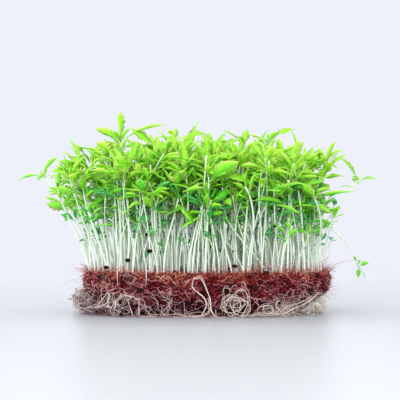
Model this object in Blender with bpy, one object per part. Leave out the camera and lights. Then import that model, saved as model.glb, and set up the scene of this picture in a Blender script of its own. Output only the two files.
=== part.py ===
"""Cress microgreens on their growing mat, as the pad is lifted out of a punnet.

A felted fibre mat carries the seedlings, and a layer of matted roots under it is what the pad stands on.
Each seedling is a stem, planted in a socket of the mat, and a crown of leaves on the stem's tip.
Metres, +Z up, +X along the pad's long side, -Y to its front. The origin is the middle of the resting face.
"""

import math

import bmesh
import bpy
from mathutils import Matrix, Vector
from mathutils.bvhtree import BVHTree

MM = 0.001
GAP = 0.3 * MM  # between pieces that touch on the real pad

# The pad's outline is a rounded rectangle, taken as a superellipse.
PAD_HALF_LENGTH = 54 * MM
PAD_HALF_DEPTH = 39 * MM
CORNER_POWER = 2.8
OUTLINE_POINTS = 40

ROOT_MAT_TOP = 7 * MM
MAT_BOTTOM = ROOT_MAT_TOP + GAP
MAT_TOP = 17.5 * MM

STEM_RADIUS = 0.5 * MM
STEM_TIP_SHARE = 0.8  # of the radius at the foot
STEM_STEPS = 6
SOCKET_DEPTH = 2.6 * MM
SOCKET_CLEARANCE = 0.35 * MM
SOCKET_SIDES = 8
HUB_RADIUS = 1.0 * MM

LEAF_THICKNESS = 0.5 * MM
LEAF_CURL = math.radians(44)  # how far a leaf bends down from its foot to its tip
LEAF_STATIONS = ((0.0, 0.3), (0.4, 0.85), (0.72, 1.0))  # share of the length, share of the width
LEAF_SLIMNESS = 0.32  # width over length
TURN_STEP = math.radians(15)
SWAY_STEP = 1 * MM
MOST_TRIES = 24

SEED_HALF_SIZES = (1.5 * MM, 0.8 * MM, 0.7 * MM)

# name: foot x, y; crown x, y, z; leaves as (bearing, rise, length), all in millimetres and degrees.
# A bearing of 0 points to +X and 90 to the back. A rise of 90 points straight up.
SEEDLINGS = {
    "far_left": ((-46, 8), (-74, 12, 61), ((20, 60, 11), (180, -5, 12), (250, -15, 7))),
    "low_left": ((-46, -11), (-58, -8, 46), ((190, 15, 8), (110, 50, 7), (270, 10, 7), (0, 40, 7))),
    "left": ((-42, -18), (-53, -15, 58), ((176, 22, 15), (250, 30, 11), (60, 50, 12), (320, 25, 10))),
    "upper_left": ((-36, 5), (-44, 6, 70), ((175, 18, 19), (80, 40, 12), (300, 30, 10))),
    "tallest": ((-29, -3), (-38, -4, 75), ((95, 82, 15), (2, 28, 22), (182, 34, 13), (265, 25, 11))),
    "front_left": ((-36, -24), (-38, -24, 57), ((100, 75, 13), (210, 25, 13), (330, 20, 12), (30, 45, 12))),
    "front_whorl": ((-31, -31), (-26, -33, 49), ((170, 25, 9), (150, 50, 9), (30, 60, 8), (345, 28, 12))),
    "centre_left": ((-16, -18), (-19, -20, 53), ((110, 74, 17), (60, 50, 11), (165, 35, 15), (280, 30, 10))),
    "front_pale": ((-18, -34), (-12, -32, 49), ((110, 80, 14), (345, 35, 8), (175, 50, 9))),
    "centre_whorl": ((1, -26), (-1, -25, 56), ((120, 65, 11), (30, 55, 8), (185, 5, 7), (350, 15, 10))),
    "top_centre": ((8, -9), (5, -9, 72), ((165, 42, 10), (50, 60, 9), (290, 20, 11), (0, 25, 10))),
    "top_back": ((-12, 13), (-14, 14, 77), ((180, 18, 9), (2, 16, 16), (90, 50, 10), (250, 30, 10))),
    "top_right_centre": ((18, 4), (17, 2, 73), ((165, 46, 13), (75, 70, 10), (350, 15, 9), (255, 30, 11))),
    "top_right": ((26, 13), (28, 11, 76), ((355, 32, 14), (150, 30, 10), (60, 45, 9), (240, 10, 10))),
    "right_upright": ((29, -14), (33, -12, 69), ((120, 74, 8), (10, 34, 9), (190, 25, 10), (280, 15, 10))),
    "right": ((42, -7), (51, -6, 65), ((15, 42, 12), (170, 30, 8), (270, 20, 9), (330, -10, 8))),
    "far_right": ((45, 4), (67, 0, 58), ((150, 60, 14), (5, 12, 9), (250, 20, 8))),
    "right_stray": ((43, -15), (55, -15, 41), ((40, 65, 7), (340, 30, 5))),
    "low_right": ((38, -24), (43, -26, 34), ((170, 30, 6), (80, 62, 6), (10, 32, 6))),
    "front_broad": ((15, -34), (17, -33, 49), ((145, 50, 9), (20, 36, 9), (270, 20, 8))),
    "front_right": ((31, -29), (35, -28, 42), ((135, 60, 8), (10, 25, 7), (240, 20, 7))),
    "hanging_right": ((46, 17), (71, 26, 19), ((255, -55, 6), (20, 30, 6), (320, -50, 6))),
    "back_left": ((-20, 29), (-24, 33, 66), ((175, 25, 13), (100, 30, 12), (20, 35, 12), (270, 35, 10))),
    "back_right": ((30, 28), (34, 32, 64), ((160, 30, 12), (85, 25, 12), (0, 30, 13), (270, 40, 9))),
}
ARCH_HEIGHT = {"hanging_right": 20 * MM}  # how far a drooping stem rises above its crown on the way

# name: place on the pad in millimetres, turn in degrees.
SEEDS = {
    "seed_coat_left": ((-42, -26), 35),
    "seed_coat_centre": ((6, -33.5), 80),
    "seed_coat_right": ((23, -32), 20),
    "seed_coat_back": ((-4, 30), 120),
}

# Root bundles along the pad's two ends: side of the pad, how far their middle line lies out from the
# pad's outline, radius, both in millimetres, and the angle they sweep about the pad's middle in degrees.
ROOT_BUNDLES = {"root_bundle_left": (-1, 1.4, 4.6, 86), "root_bundle_right": (1, -2.4, 2.3, 80)}
BUNDLE_POINTS = 9

# Thick roots that curl out of the pad's front and back into it: X and height of their turns, in millimetres.
FRONT_ROOTS = {
    "root_loop": (
        (-2.4, 0.9), (-0.4, 4.4), (-1.4, 8.2), (-4.6, 11), (-6.9, 14.2), (-6.2, 16.6),
        (-4.2, 17.2), (-2, 16.2), (-0.2, 12), (1.2, 7.4), (1.4, 3.6), (2.8, 0.9),
    ),
    "root_fork": (
        (-30.6, 0.9), (-32, 4.5), (-32.7, 8.2), (-30.6, 9.3), (-28.7, 8.1), (-28.2, 4.5), (-28, 0.9),
    ),
}
FRONT_ROOT_RADIUS = 0.42 * MM
FRONT_ROOT_REACH = 1 * MM  # from the pad's widest outline to a front root's middle line
FRONT_ROOT_STEPS = 3  # between two turns
COIL_X = 12.5 * MM
COIL_RADIUS = 5.1 * MM
COIL_STRAND_RADIUS = 0.5 * MM
COIL_REACH = 1.4 * MM
COIL_POINTS = 24

# Colours are linear RGB.
PALE_STEM = (0.62, 0.78, 0.46)
FRESH_LEAF = (0.22, 0.56, 0.03)
MAT_RED = (0.22, 0.035, 0.025)
ROOT_MAT_PURPLE = (0.12, 0.03, 0.035)
ROOT_CREAM = (0.62, 0.48, 0.42)
ROOT_GREY = (0.34, 0.26, 0.22)
SEED_BROWN = (0.05, 0.015, 0.01)


def clear_scene():
    for old in list(bpy.data.objects):
        bpy.data.objects.remove(old)


def material(name, colour, roughness):
    made = bpy.data.materials.get(name)
    if made is None:
        made = bpy.data.materials.new(name)
        made.use_nodes = True
        shader = made.node_tree.nodes["Principled BSDF"]
        shader.inputs["Base Color"].default_value = (*colour, 1)
        shader.inputs["Roughness"].default_value = roughness
        shader.inputs["Metallic"].default_value = 0
    return made


def add_object(name, data, finish):
    made = bpy.data.objects.new(name, data)
    bpy.context.scene.collection.objects.link(made)
    data.materials.append(finish)
    return made


def add_mesh(name, form, finish, smooth=True):
    """An object from a bmesh, which is freed."""
    mesh = bpy.data.meshes.new(name)
    form.to_mesh(mesh)
    form.free()
    if smooth:
        mesh.shade_smooth()
        mesh.set_sharp_from_angle(angle=math.radians(40))
    return add_object(name, mesh, finish)


def make_helper(thing):
    """Marks a cutter or a shape that a Boolean takes in, which is no piece of its own."""
    thing.hide_render = True
    thing.display_type = "WIRE"


def add_boolean(thing, operation, other=None, group=None):
    joined = thing.modifiers.new(operation.lower(), "BOOLEAN")
    joined.operation = operation
    joined.solver = "EXACT"
    if group is None:
        joined.object = other
    else:
        joined.operand_type = "COLLECTION"
        joined.collection = group


def superellipse(half_x, half_y, angle):
    """The point of a rounded rectangle at this angle about its middle."""
    c, s = math.cos(angle), math.sin(angle)
    power = 2 / CORNER_POWER
    return (
        math.copysign(half_x * abs(c) ** power, c),
        math.copysign(half_y * abs(s) ** power, s),
    )


def front_edge(x):
    """The Y of the pad's front edge at this X."""
    return -PAD_HALF_DEPTH * (1 - (abs(x) / PAD_HALF_LENGTH) ** CORNER_POWER) ** (1 / CORNER_POWER)


def lofted_slab(name, levels, finish):
    """A closed slab through one rounded outline at each level: (height, left end, right end, half depth)."""
    form = bmesh.new()
    rings = []
    for height, left, right, half_depth in levels:
        ring = []
        for i in range(OUTLINE_POINTS):
            x, y = superellipse(1.0, half_depth, 2 * math.pi * i / OUTLINE_POINTS)
            x *= right if x > 0 else left
            ring.append(form.verts.new((x, y, height)))
        rings.append(ring)
    for ring in rings:
        for a, b in zip(ring, ring[1:] + ring[:1]):
            form.edges.new((a, b))
    bmesh.ops.bridge_loops(form, edges=form.edges[:])
    form.faces.new(rings[0])
    form.faces.new(rings[-1])
    bmesh.ops.recalc_face_normals(form, faces=form.faces[:])
    return add_mesh(name, form, finish)


def rod(name, points, radius, finish, tip_share=1.0, cyclic=False, sides=1):
    """A round rod with closed ends along these points, thinning evenly to its tip."""
    curve = bpy.data.curves.new(name, "CURVE")
    curve.dimensions = "3D"
    curve.bevel_depth = radius
    curve.bevel_resolution = sides
    curve.use_fill_caps = not cyclic
    spline = curve.splines.new("POLY")
    spline.points.add(len(points) - 1)
    for i, (point, place) in enumerate(zip(spline.points, points)):
        point.co = (*place, 1)
        point.radius = 1 + (tip_share - 1) * i / (len(points) - 1)
    spline.use_cyclic_u = cyclic
    return add_object(name, curve, finish)


def bezier(a, b, c, d, steps):
    """Points along a cubic curve from a to d, with b and c as its handles."""
    found = []
    for i in range(steps + 1):
        t = i / steps
        u = 1 - t
        found.append(a * u**3 + b * (3 * u * u * t) + c * (3 * u * t * t) + d * t**3)
    return found


def smooth_path(points, steps):
    """A Catmull-Rom curve through the points, with this many steps between each two."""
    ends = [points[0] * 2 - points[1], *points, points[-1] * 2 - points[-2]]
    found = []
    for p, q, r, s in zip(ends, ends[1:], ends[2:], ends[3:]):
        bend = p * 2 - q * 5 + r * 4 - s
        twist = q * 3 - p - r * 3 + s
        for i in range(steps):
            t = i / steps
            found.append((q * 2 + (r - p) * t + bend * t**2 + twist * t**3) * 0.5)
    return [*found, points[-1]]


def stem_points(name, foot, crown, sway):
    """A stem's centre line: upright out of its socket, then a bend over to just under the leaves."""
    start = Vector((foot[0], foot[1], MAT_TOP - SOCKET_DEPTH + GAP))
    lip = Vector((foot[0], foot[1], MAT_TOP + GAP))
    rise = (crown - lip).length
    arch = ARCH_HEIGHT.get(name, 0.0)
    lower = lip + Vector((0, 0, 0.4 * rise + arch))
    upper = lip.lerp(crown, 0.7) + Vector((sway, -sway / 2, arch))
    below_hub = crown - (crown - upper).normalized() * (HUB_RADIUS + GAP)
    return [start, *bezier(lip, lower, upper, below_hub, STEM_STEPS)]


def leaf_shape(hub, bearing, rise, length):
    """One leaf as (points, faces): a lens-shaped blade that widens, then narrows to its tip, curling down."""
    away = Vector((math.cos(bearing), math.sin(bearing), 0))
    side = Vector((-math.sin(bearing), math.cos(bearing), 0))
    width = length * LEAF_SLIMNESS
    points, faces = [], []
    stations = [*LEAF_STATIONS, (1.0, 0.0)]
    place = hub + away * (0.2 * HUB_RADIUS)
    for i, (share, wide) in enumerate(stations):
        slope = rise + LEAF_CURL * (0.5 - share)
        along = away * math.cos(slope) + Vector((0, 0, math.sin(slope)))
        if i:
            place = place + along * length * (share - stations[i - 1][0])
        across = side * (width / 2 * wide)
        over = side.cross(along).normalized() * (-LEAF_THICKNESS / 2)
        if wide:
            points += [place - across, place + over, place + across, place - over]
    points.append(place)
    tip = len(points) - 1
    for ring in range(len(LEAF_STATIONS) - 1):
        for k in range(4):
            a, b = 4 * ring + k, 4 * ring + (k + 1) % 4
            faces.append((a, b, b + 4, a + 4))
    last = tip - 4
    faces += [(last + k, last + (k + 1) % 4, tip) for k in range(4)]
    faces.append((3, 2, 1, 0))
    return points, faces


def crown_shapes(hub, leaves, turn):
    """Every leaf of a crown, turned together about the stem."""
    return [
        leaf_shape(hub, math.radians(bearing) + turn, math.radians(rise), length * MM)
        for bearing, rise, length in leaves
    ]


def tree_of(shapes):
    """A search tree of several (points, faces)."""
    points, faces = [], []
    for some, sides in shapes:
        faces += [tuple(i + len(points) for i in side) for side in sides]
        points += some
    return BVHTree.FromPolygons(points, faces)


def evaluated_shape(thing):
    """A finished object as (points, faces) in world space."""
    graph = bpy.context.evaluated_depsgraph_get()
    solid = thing.evaluated_get(graph)
    mesh = solid.to_mesh()
    points = [solid.matrix_world @ v.co for v in mesh.vertices]
    faces = [tuple(p.vertices) for p in mesh.polygons]
    solid.to_mesh_clear()
    return points, faces


def is_clear(tree, others):
    return not any(tree.overlap(other) for other in others)


def add_stem(name, foot, crown, placed):
    """Plants a stem, swaying it sideways a little more each time it would cross one that is there."""
    finish = material("stem", PALE_STEM, 0.45)
    for attempt in range(MOST_TRIES):
        sway = SWAY_STEP * ((attempt + 1) // 2) * (-1) ** attempt
        points = stem_points(name, foot, crown, sway)
        stem = rod(name + "_stem", points, STEM_RADIUS, finish, STEM_TIP_SHARE)
        tree = tree_of([evaluated_shape(stem)])
        if is_clear(tree, placed):
            placed.append(tree)
            return
        bpy.data.objects.remove(stem)
    raise RuntimeError(f"{name} crosses another stem however it sways")


def add_crown(name, hub, leaves, placed):
    """Sets a crown of leaves on its hub, turned until it is clear of everything there."""
    for attempt in range(MOST_TRIES):
        turn = TURN_STEP * ((attempt + 1) // 2) * (-1) ** attempt
        shapes = crown_shapes(hub, leaves, turn)
        tree = tree_of(shapes)
        if is_clear(tree, placed):
            break
    else:
        raise RuntimeError(f"{name} meets another seedling whichever way it turns")
    placed.append(tree)
    finish = material("leaf", FRESH_LEAF, 0.4)
    form = bmesh.new()
    bmesh.ops.create_icosphere(form, subdivisions=1, radius=HUB_RADIUS, matrix=Matrix.Translation(hub))
    crown = add_mesh(name + "_leaves", form, finish)
    group = bpy.data.collections.new(name + "_leaf_helpers")
    bpy.context.scene.collection.children.link(group)
    for points, faces in shapes:
        mesh = bpy.data.meshes.new(name + "_leaf")
        mesh.from_pydata(points, [], faces)
        leaf = bpy.data.objects.new(name + "_leaf", mesh)
        group.objects.link(leaf)
        make_helper(leaf)
    add_boolean(crown, "UNION", group=group)


def add_seedlings(placed):
    """All stems first, then the crowns of leaves, each clear of all the others."""
    places = {
        name: (Vector(foot) * MM, Vector(crown) * MM, leaves)
        for name, (foot, crown, leaves) in SEEDLINGS.items()
    }
    for name, (foot, crown, _) in places.items():
        add_stem(name, foot, crown, placed)
    for name, (_, crown, leaves) in places.items():
        add_crown(name, crown, leaves, placed)


def socket_cutter():
    """One upright peg for each stem's socket in the mat."""
    form = bmesh.new()
    for foot, _, _ in SEEDLINGS.values():
        middle = Vector((foot[0] * MM, foot[1] * MM, MAT_TOP))
        bmesh.ops.create_cone(
            form,
            cap_ends=True,
            segments=SOCKET_SIDES,
            radius1=STEM_RADIUS + SOCKET_CLEARANCE,
            radius2=STEM_RADIUS + SOCKET_CLEARANCE,
            depth=2 * SOCKET_DEPTH,
            matrix=Matrix.Translation(middle),
        )
    cutter = add_mesh("socket_cutter", form, material("mat", MAT_RED, 0.9), smooth=False)
    make_helper(cutter)
    return cutter


def add_growing_mat():
    """The felted fibre mat, its edge drawn in a little above and below, with the stems' sockets."""
    length, depth = PAD_HALF_LENGTH, PAD_HALF_DEPTH
    middle = (MAT_TOP + MAT_BOTTOM) / 2
    mat = lofted_slab(
        "growing_mat",
        (
            (MAT_BOTTOM, length - 4 * MM, length - 4 * MM, depth - 1.5 * MM),
            (middle, length - 1 * MM, length - 0.6 * MM, depth),
            (MAT_TOP - 1.5 * MM, length, length, depth),
            (MAT_TOP, length - 1.5 * MM, length - 1.5 * MM, depth - 1.5 * MM),
        ),
        material("mat", MAT_RED, 0.9),
    )
    add_boolean(mat, "DIFFERENCE", other=socket_cutter())


def add_root_mat():
    """The layer of matted roots under the fibre mat, which the pad stands on: raked in at its right end."""
    length, depth = PAD_HALF_LENGTH, PAD_HALF_DEPTH
    lofted_slab(
        "root_mat",
        (
            (0.0, length - 6 * MM, length - 16 * MM, depth - 4 * MM),
            (0.35 * ROOT_MAT_TOP, length - 4.5 * MM, length - 12 * MM, depth - 2.2 * MM),
            (ROOT_MAT_TOP, length - 4.5 * MM, length - 5 * MM, depth - 2 * MM),
        ),
        material("root_mat", ROOT_MAT_PURPLE, 0.9),
    )


def add_root_bundles():
    """The loose roots that hang together in a roll round each end of the pad, lying on the surface."""
    finish = material("loose_roots", ROOT_GREY, 0.8)
    for name, (side, reach, radius, sweep) in ROOT_BUNDLES.items():
        path = []
        for i in range(BUNDLE_POINTS):
            angle = math.radians(sweep) * (i / (BUNDLE_POINTS - 1) - 0.5)
            x, y = superellipse(PAD_HALF_LENGTH + reach * MM, PAD_HALF_DEPTH + reach * MM, angle)
            path.append(Vector((side * x, y, radius * MM + GAP)))
        rod(name, path, radius * MM, finish, sides=3)


def add_front_roots():
    """The thick roots that curl out of the pad's front, and one that has coiled into a ring."""
    finish = material("front_roots", ROOT_CREAM, 0.6)
    for name, turns in FRONT_ROOTS.items():
        corners = [Vector((x * MM, front_edge(x * MM) - FRONT_ROOT_REACH, z * MM)) for x, z in turns]
        rod(name, smooth_path(corners, FRONT_ROOT_STEPS), FRONT_ROOT_RADIUS, finish)
    middle = Vector((COIL_X, front_edge(COIL_X) - COIL_REACH, COIL_RADIUS + COIL_STRAND_RADIUS + GAP))
    angles = [2 * math.pi * i / COIL_POINTS for i in range(COIL_POINTS)]
    ring = [middle + Vector((math.cos(a), 0, math.sin(a))) * COIL_RADIUS for a in angles]
    rod("root_coil", ring, COIL_STRAND_RADIUS, finish, cyclic=True)


def add_seed_coats(placed):
    """Spent seed coats that lie on the mat."""
    finish = material("seed_coat", SEED_BROWN, 0.45)
    for name, (place, turn) in SEEDS.items():
        form = bmesh.new()
        middle = Vector((place[0] * MM, place[1] * MM, MAT_TOP + SEED_HALF_SIZES[2] + GAP))
        stretch = Matrix.Diagonal((*SEED_HALF_SIZES, 1))
        turned = Matrix.Rotation(math.radians(turn), 4, "Z")
        bmesh.ops.create_icosphere(
            form, subdivisions=2, radius=1, matrix=Matrix.Translation(middle) @ turned @ stretch
        )
        coat = add_mesh(name, form, finish)
        placed.append(tree_of([evaluated_shape(coat)]))


def main():
    clear_scene()
    placed = []  # a search tree of each piece that a seedling has to stay clear of
    add_growing_mat()
    add_root_mat()
    add_root_bundles()
    add_front_roots()
    add_seed_coats(placed)
    add_seedlings(placed)


main()
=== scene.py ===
"""The looks of a block of cress microgreens, standing free on its growing mat and its own roots.

Metres, +Z up, -Y to the front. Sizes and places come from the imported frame.
"""

import math
from collections import namedtuple

import bpy
import numpy as np
from bpy.props import FloatProperty, FloatVectorProperty, IntProperty, PointerProperty
from bpy.types import Operator, Panel, PropertyGroup
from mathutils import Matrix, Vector


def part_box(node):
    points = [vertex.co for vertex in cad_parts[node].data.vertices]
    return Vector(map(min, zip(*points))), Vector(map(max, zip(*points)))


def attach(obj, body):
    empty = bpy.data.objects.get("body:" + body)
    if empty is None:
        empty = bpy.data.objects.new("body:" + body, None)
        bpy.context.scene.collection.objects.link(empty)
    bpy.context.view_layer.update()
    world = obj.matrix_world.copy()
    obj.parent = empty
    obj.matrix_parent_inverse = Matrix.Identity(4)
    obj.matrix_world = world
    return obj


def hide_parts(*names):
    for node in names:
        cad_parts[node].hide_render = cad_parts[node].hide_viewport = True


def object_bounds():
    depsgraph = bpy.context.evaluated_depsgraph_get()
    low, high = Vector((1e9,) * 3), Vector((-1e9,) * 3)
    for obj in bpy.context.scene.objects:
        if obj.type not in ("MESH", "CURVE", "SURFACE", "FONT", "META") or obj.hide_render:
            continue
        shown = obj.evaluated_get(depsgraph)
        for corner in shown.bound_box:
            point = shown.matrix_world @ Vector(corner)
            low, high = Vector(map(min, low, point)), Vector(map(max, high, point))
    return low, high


bl_info = {
    "name": "Cress Microgreens",
    "version": (1, 0, 0),
    "blender": (4, 5, 0),
    "location": "3D View > Sidebar > Cress",
    "description": "Dresses a block of cress seedlings on its growing mat",
    "category": "Object",
}

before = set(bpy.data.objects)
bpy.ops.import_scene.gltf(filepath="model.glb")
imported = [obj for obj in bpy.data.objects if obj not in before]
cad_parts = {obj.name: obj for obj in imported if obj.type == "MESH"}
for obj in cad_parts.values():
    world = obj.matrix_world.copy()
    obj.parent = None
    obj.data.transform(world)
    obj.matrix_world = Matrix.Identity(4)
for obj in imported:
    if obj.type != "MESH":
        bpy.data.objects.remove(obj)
FRAME_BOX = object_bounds()

MM = 0.001
TURN = 2 * math.pi
UP = np.array([0.0, 0.0, 1.0])

MAT_BOX = [np.array(corner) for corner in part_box("growing_mat")]
MAT_TOP = MAT_BOX[1][2]
MAT_BOTTOM = MAT_BOX[0][2]
SEEDLINGS = sorted(name[: -len("_stem")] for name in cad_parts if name.endswith("_stem"))

CORNER_POWER = 2.8  # the pad's outline is a superellipse of this power
PAD_GIRTH = 330 * MM  # about the length of that outline
THIN_LIFT = 0.25 * MM  # the least height of a thin root's middle line
THICK_LIFT = 0.3 * MM  # the least height of a thick root's middle line


# ---------------------------------------------------------------- numbers and paths


def unit(vectors):
    """Each vector over its own length."""
    return vectors / np.maximum(np.linalg.norm(vectors, axis=-1, keepdims=True), 1e-12)


def dot(a, b):
    """The dot product of each pair of vectors, kept as a last axis of one."""
    return (a * b).sum(axis=-1, keepdims=True)


def smooth_step(low, high, x):
    """0 up to low, 1 from high, and 3t^2 - 2t^3 of the share t of the way between."""
    t = np.clip((x - low) / (high - low), 0, 1)
    return t * t * (3 - 2 * t)


def bezier(corners, shares):
    """The curve of (1-t)^3 a + 3(1-t)^2 t b + 3(1-t) t^2 c + t^3 d through each item's four corners."""
    a, b, c, d = (corner[:, None, :] for corner in corners)
    t = shares[None, :, None]
    u = 1 - t
    return a * u**3 + 3 * b * u * u * t + 3 * c * u * t * t + d * t**3


def wander(rng, items, stations, waves, size):
    """A smooth random line for each item: a sum of sine waves of 1 to `waves` half turns along it, the
    faster ones smaller, each with its own random height and phase in X, Y and Z."""
    s = np.linspace(0, 1, stations)[None, :, None, None]
    turns = np.arange(1, waves + 1)[None, None, :, None]
    phase = rng.uniform(0, TURN, (items, 1, waves, 3))
    height = rng.normal(0, 1, (items, 1, waves, 3)) / turns**0.8
    return size * (height * np.sin(TURN * turns * s * 0.5 + phase)).sum(axis=2)


def rough(rng, points, scale, waves=40):
    """A bumpy field from -1 to 1 or so: sine waves in random directions, their lengths spread by a factor
    of four about the scale, added up at each point."""
    direction = unit(rng.normal(0, 1, (waves, 3))) * (TURN / scale * 2 ** rng.uniform(-1, 1, (waves, 1)))
    phase = rng.uniform(0, TURN, waves)
    return np.sin(points @ direction.T + phase).sum(axis=-1) / math.sqrt(waves)


def curled(rng, heading, length, stations, turning):
    """Plane lines with a wandering heading h: u and v are the running sums of cos h and sin h. The heading
    is its start plus a smooth random angle of about this size."""
    count = len(heading)
    h = heading[:, None] + wander(rng, count, stations, 4, turning)[..., 0]
    step = (length / (stations - 1))[:, None]
    return np.cumsum(np.cos(h) * step, axis=1), np.cumsum(np.sin(h) * step, axis=1)


def tangled(rng, starts, length, stations, turning, pull):
    """Lines in space that set off in random directions, lean towards `pull`, and wander: running sums of
    (cos a cos b, sin a cos b, sin b), where both angles are smooth and random."""
    count = len(starts)
    angles = wander(rng, count, stations, 4, turning)
    a = rng.uniform(0, TURN, (count, 1)) + angles[..., 0]
    b = 0.7 * angles[..., 1]
    way = np.stack([np.cos(a) * np.cos(b), np.sin(a) * np.cos(b), np.sin(b)], axis=-1) + pull
    return starts[:, None] + np.cumsum(way * (length / stations)[:, None, None], axis=1)


def grounded(points, least):
    """The points, each raised to this height where it is lower."""
    points[..., 2] = np.maximum(points[..., 2], least)
    return points


def smooth_line(points, stations):
    """A Catmull-Rom curve through the points. Between b and c, with a before and d after them, it is half of
    2b + (c - a)t + (2a - 5b + 4c - d)t^2 + (3b - a - 3c + d)t^3."""
    points = np.asarray(points, dtype=float)
    all_points = np.vstack([2 * points[0] - points[1], points, 2 * points[-1] - points[-2]])
    at = np.linspace(0, len(points) - 1.0001, stations)
    k = at.astype(int)
    t = (at - k)[:, None]
    a, b, c, d = (all_points[k + shift] for shift in range(4))
    return (2 * b + (c - a) * t + (2 * a - 5 * b + 4 * c - d) * t**2 + (3 * b - a - 3 * c + d) * t**3) / 2


# ---------------------------------------------------------------- surfaces

Surface = namedtuple("Surface", "points faces corners place")


def ringed(rings, along, across, tone):
    """Closed skins round items of rings: an array of items, stations, points round and coordinates.

    Neighbouring rings are joined by four-sided faces, and the first and last ring of each item is closed by
    one face. A ring runs anticlockwise about the way that the stations go, so that the faces point out. Each
    item has its own square of the map. The place of a point is its share along, its share across and its
    item's tone.
    """
    items, stations, sides, _ = rings.shape
    index = np.arange(items * stations * sides).reshape(items, stations, sides)
    after = np.roll(index, -1, axis=2)
    quads = np.stack([index[:, :-1], after[:, :-1], after[:, 1:], index[:, 1:]], axis=-1)
    cells = math.ceil(math.sqrt(items))
    cell = np.stack([np.arange(items) % cells, np.arange(items) // cells], axis=-1)[:, None, None, None]
    i, j = np.meshgrid(np.arange(stations - 1), np.arange(sides), indexing="ij")
    round_share = np.stack([j, j + 1, j + 1, j], axis=-1) / sides
    way_share = np.stack([i, i, i + 1, i + 1], axis=-1) / (stations - 1)
    inside = np.stack([round_share, way_share], axis=-1)[None]
    quad_map = (cell + 0.04 + 0.92 * inside) / cells
    end_share = np.arange(sides) / sides
    ends = []
    end_maps = []
    for station, order, way in ((0, slice(None, None, -1), 0), (stations - 1, slice(None), 1)):
        ends.append(index[:, station, order])
        at = np.stack([end_share[order], np.full(sides, way)], axis=-1)[None]
        end_maps.append((cell[:, 0, 0] + 0.04 + 0.92 * at) / cells)
    shape = (items, stations, sides)
    place = np.stack([np.broadcast_to(part, shape) for part in (along, across, tone)], axis=-1)
    return Surface(
        rings.reshape(-1, 3),
        [quads.reshape(-1, 4), *ends],
        [quad_map.reshape(-1, 4, 2), *end_maps],
        place.reshape(-1, 3),
    )


def rods(paths, radii, sides, tone):
    """Round rods along paths: at each station a ring of path + r (n cos a + b sin a), where n is carried
    along the path without twist and b is the tangent crossed with n."""
    tangents = unit(np.gradient(paths, axis=1))
    first = tangents[:, 0]
    helper = np.where(np.abs(first[:, 2:]) < 0.9, UP, np.array([1.0, 0.0, 0.0]))
    normal = unit(helper - dot(helper, first) * first)
    normals = np.empty_like(tangents)
    for station in range(paths.shape[1]):
        tangent = tangents[:, station]
        normal = unit(normal - dot(normal, tangent) * tangent)
        normals[:, station] = normal
    binormals = np.cross(tangents, normals)
    a = (np.arange(sides) * TURN / sides)[None, None, :, None]
    around = normals[:, :, None] * np.cos(a) + binormals[:, :, None] * np.sin(a)
    rings = paths[:, :, None] + around * radii[:, :, None, None]
    along = np.linspace(0, 1, paths.shape[1])[None, :, None]
    return ringed(rings, along, np.cos(a[..., 0]), tone[:, None, None])


def add_piece(name, surface, material, nodes=()):
    """Puts a surface into a mesh object that rides on the block and stands for these CAD nodes."""
    mesh = bpy.data.meshes.new(name)
    corners = np.concatenate([faces.ravel() for faces in surface.faces])
    sizes = np.concatenate([np.full(len(faces), faces.shape[1]) for faces in surface.faces])
    mesh.vertices.add(len(surface.points))
    mesh.vertices.foreach_set("co", surface.points.astype(np.float32).ravel())
    mesh.loops.add(len(corners))
    mesh.loops.foreach_set("vertex_index", corners.astype(np.int32))
    mesh.polygons.add(len(sizes))
    mesh.polygons.foreach_set("loop_start", (np.cumsum(sizes) - sizes).astype(np.int32))
    chart = mesh.uv_layers.new(name="OFBake")
    chart_places = np.concatenate([part.reshape(-1) for part in surface.corners])
    chart.uv.foreach_set("vector", chart_places.astype(np.float32))
    place = mesh.attributes.new("place", "FLOAT_VECTOR", "POINT")
    place.data.foreach_set("vector", surface.place.astype(np.float32).ravel())
    mesh.update(calc_edges=True)
    if mesh.validate():
        raise RuntimeError(f"the mesh of {name} has faulty faces")
    mesh.shade_smooth()
    mesh.materials.append(material)
    piece = bpy.data.objects.new(name, mesh)
    bpy.context.scene.collection.objects.link(piece)
    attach(piece, "root")
    if nodes:
        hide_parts(*nodes)
    return piece


def joined(surfaces):
    """Several surfaces as one, each keeping to its own cell of a square map."""
    cells = math.ceil(math.sqrt(len(surfaces)))
    faces, corners, start = [], [], 0
    for k, surface in enumerate(surfaces):
        cell = np.array([k % cells, k // cells])
        faces += [part + start for part in surface.faces]
        corners += [(part + cell) / cells for part in surface.corners]
        start += len(surface.points)
    points = np.concatenate([surface.points for surface in surfaces])
    place = np.concatenate([surface.place for surface in surfaces])
    return Surface(points, faces, corners, place)


# ---------------------------------------------------------------- the frame's own lines


def corners_of(node):
    """A CAD node's corners, each once."""
    found = np.array([v.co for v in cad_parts[node].data.vertices])
    return np.unique(np.round(found, 6), axis=0)


def centre_line(node):
    """The middle line of a CAD rod. Corners nearer than the reach share a ring, each ring gives its middle,
    and the middles are put in order from the lowest one, always going on to the nearest that is left."""
    reach = 0.8 * MM
    corners = corners_of(node)
    near = np.linalg.norm(corners[:, None] - corners[None], axis=2) < reach
    label = np.arange(len(corners))
    for _ in range(8):
        label = np.where(near, label[None], len(corners)).min(axis=1)
    middles = np.array([corners[label == ring].mean(axis=0) for ring in np.unique(label)])
    order = [int(middles[:, 2].argmin())]
    while len(order) < len(middles):
        gap = np.linalg.norm(middles - middles[order[-1]], axis=1)
        gap[order] = np.inf
        order.append(int(gap.argmin()))
    return middles[order]


def resampled(line, stations):
    """Points at even steps along a line of straight runs."""
    length = np.concatenate([[0], np.cumsum(np.linalg.norm(np.diff(line, axis=0), axis=1))])
    at = np.linspace(0, length[-1], stations)
    return np.stack([np.interp(at, length, line[:, axis]) for axis in range(3)], axis=-1)


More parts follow.
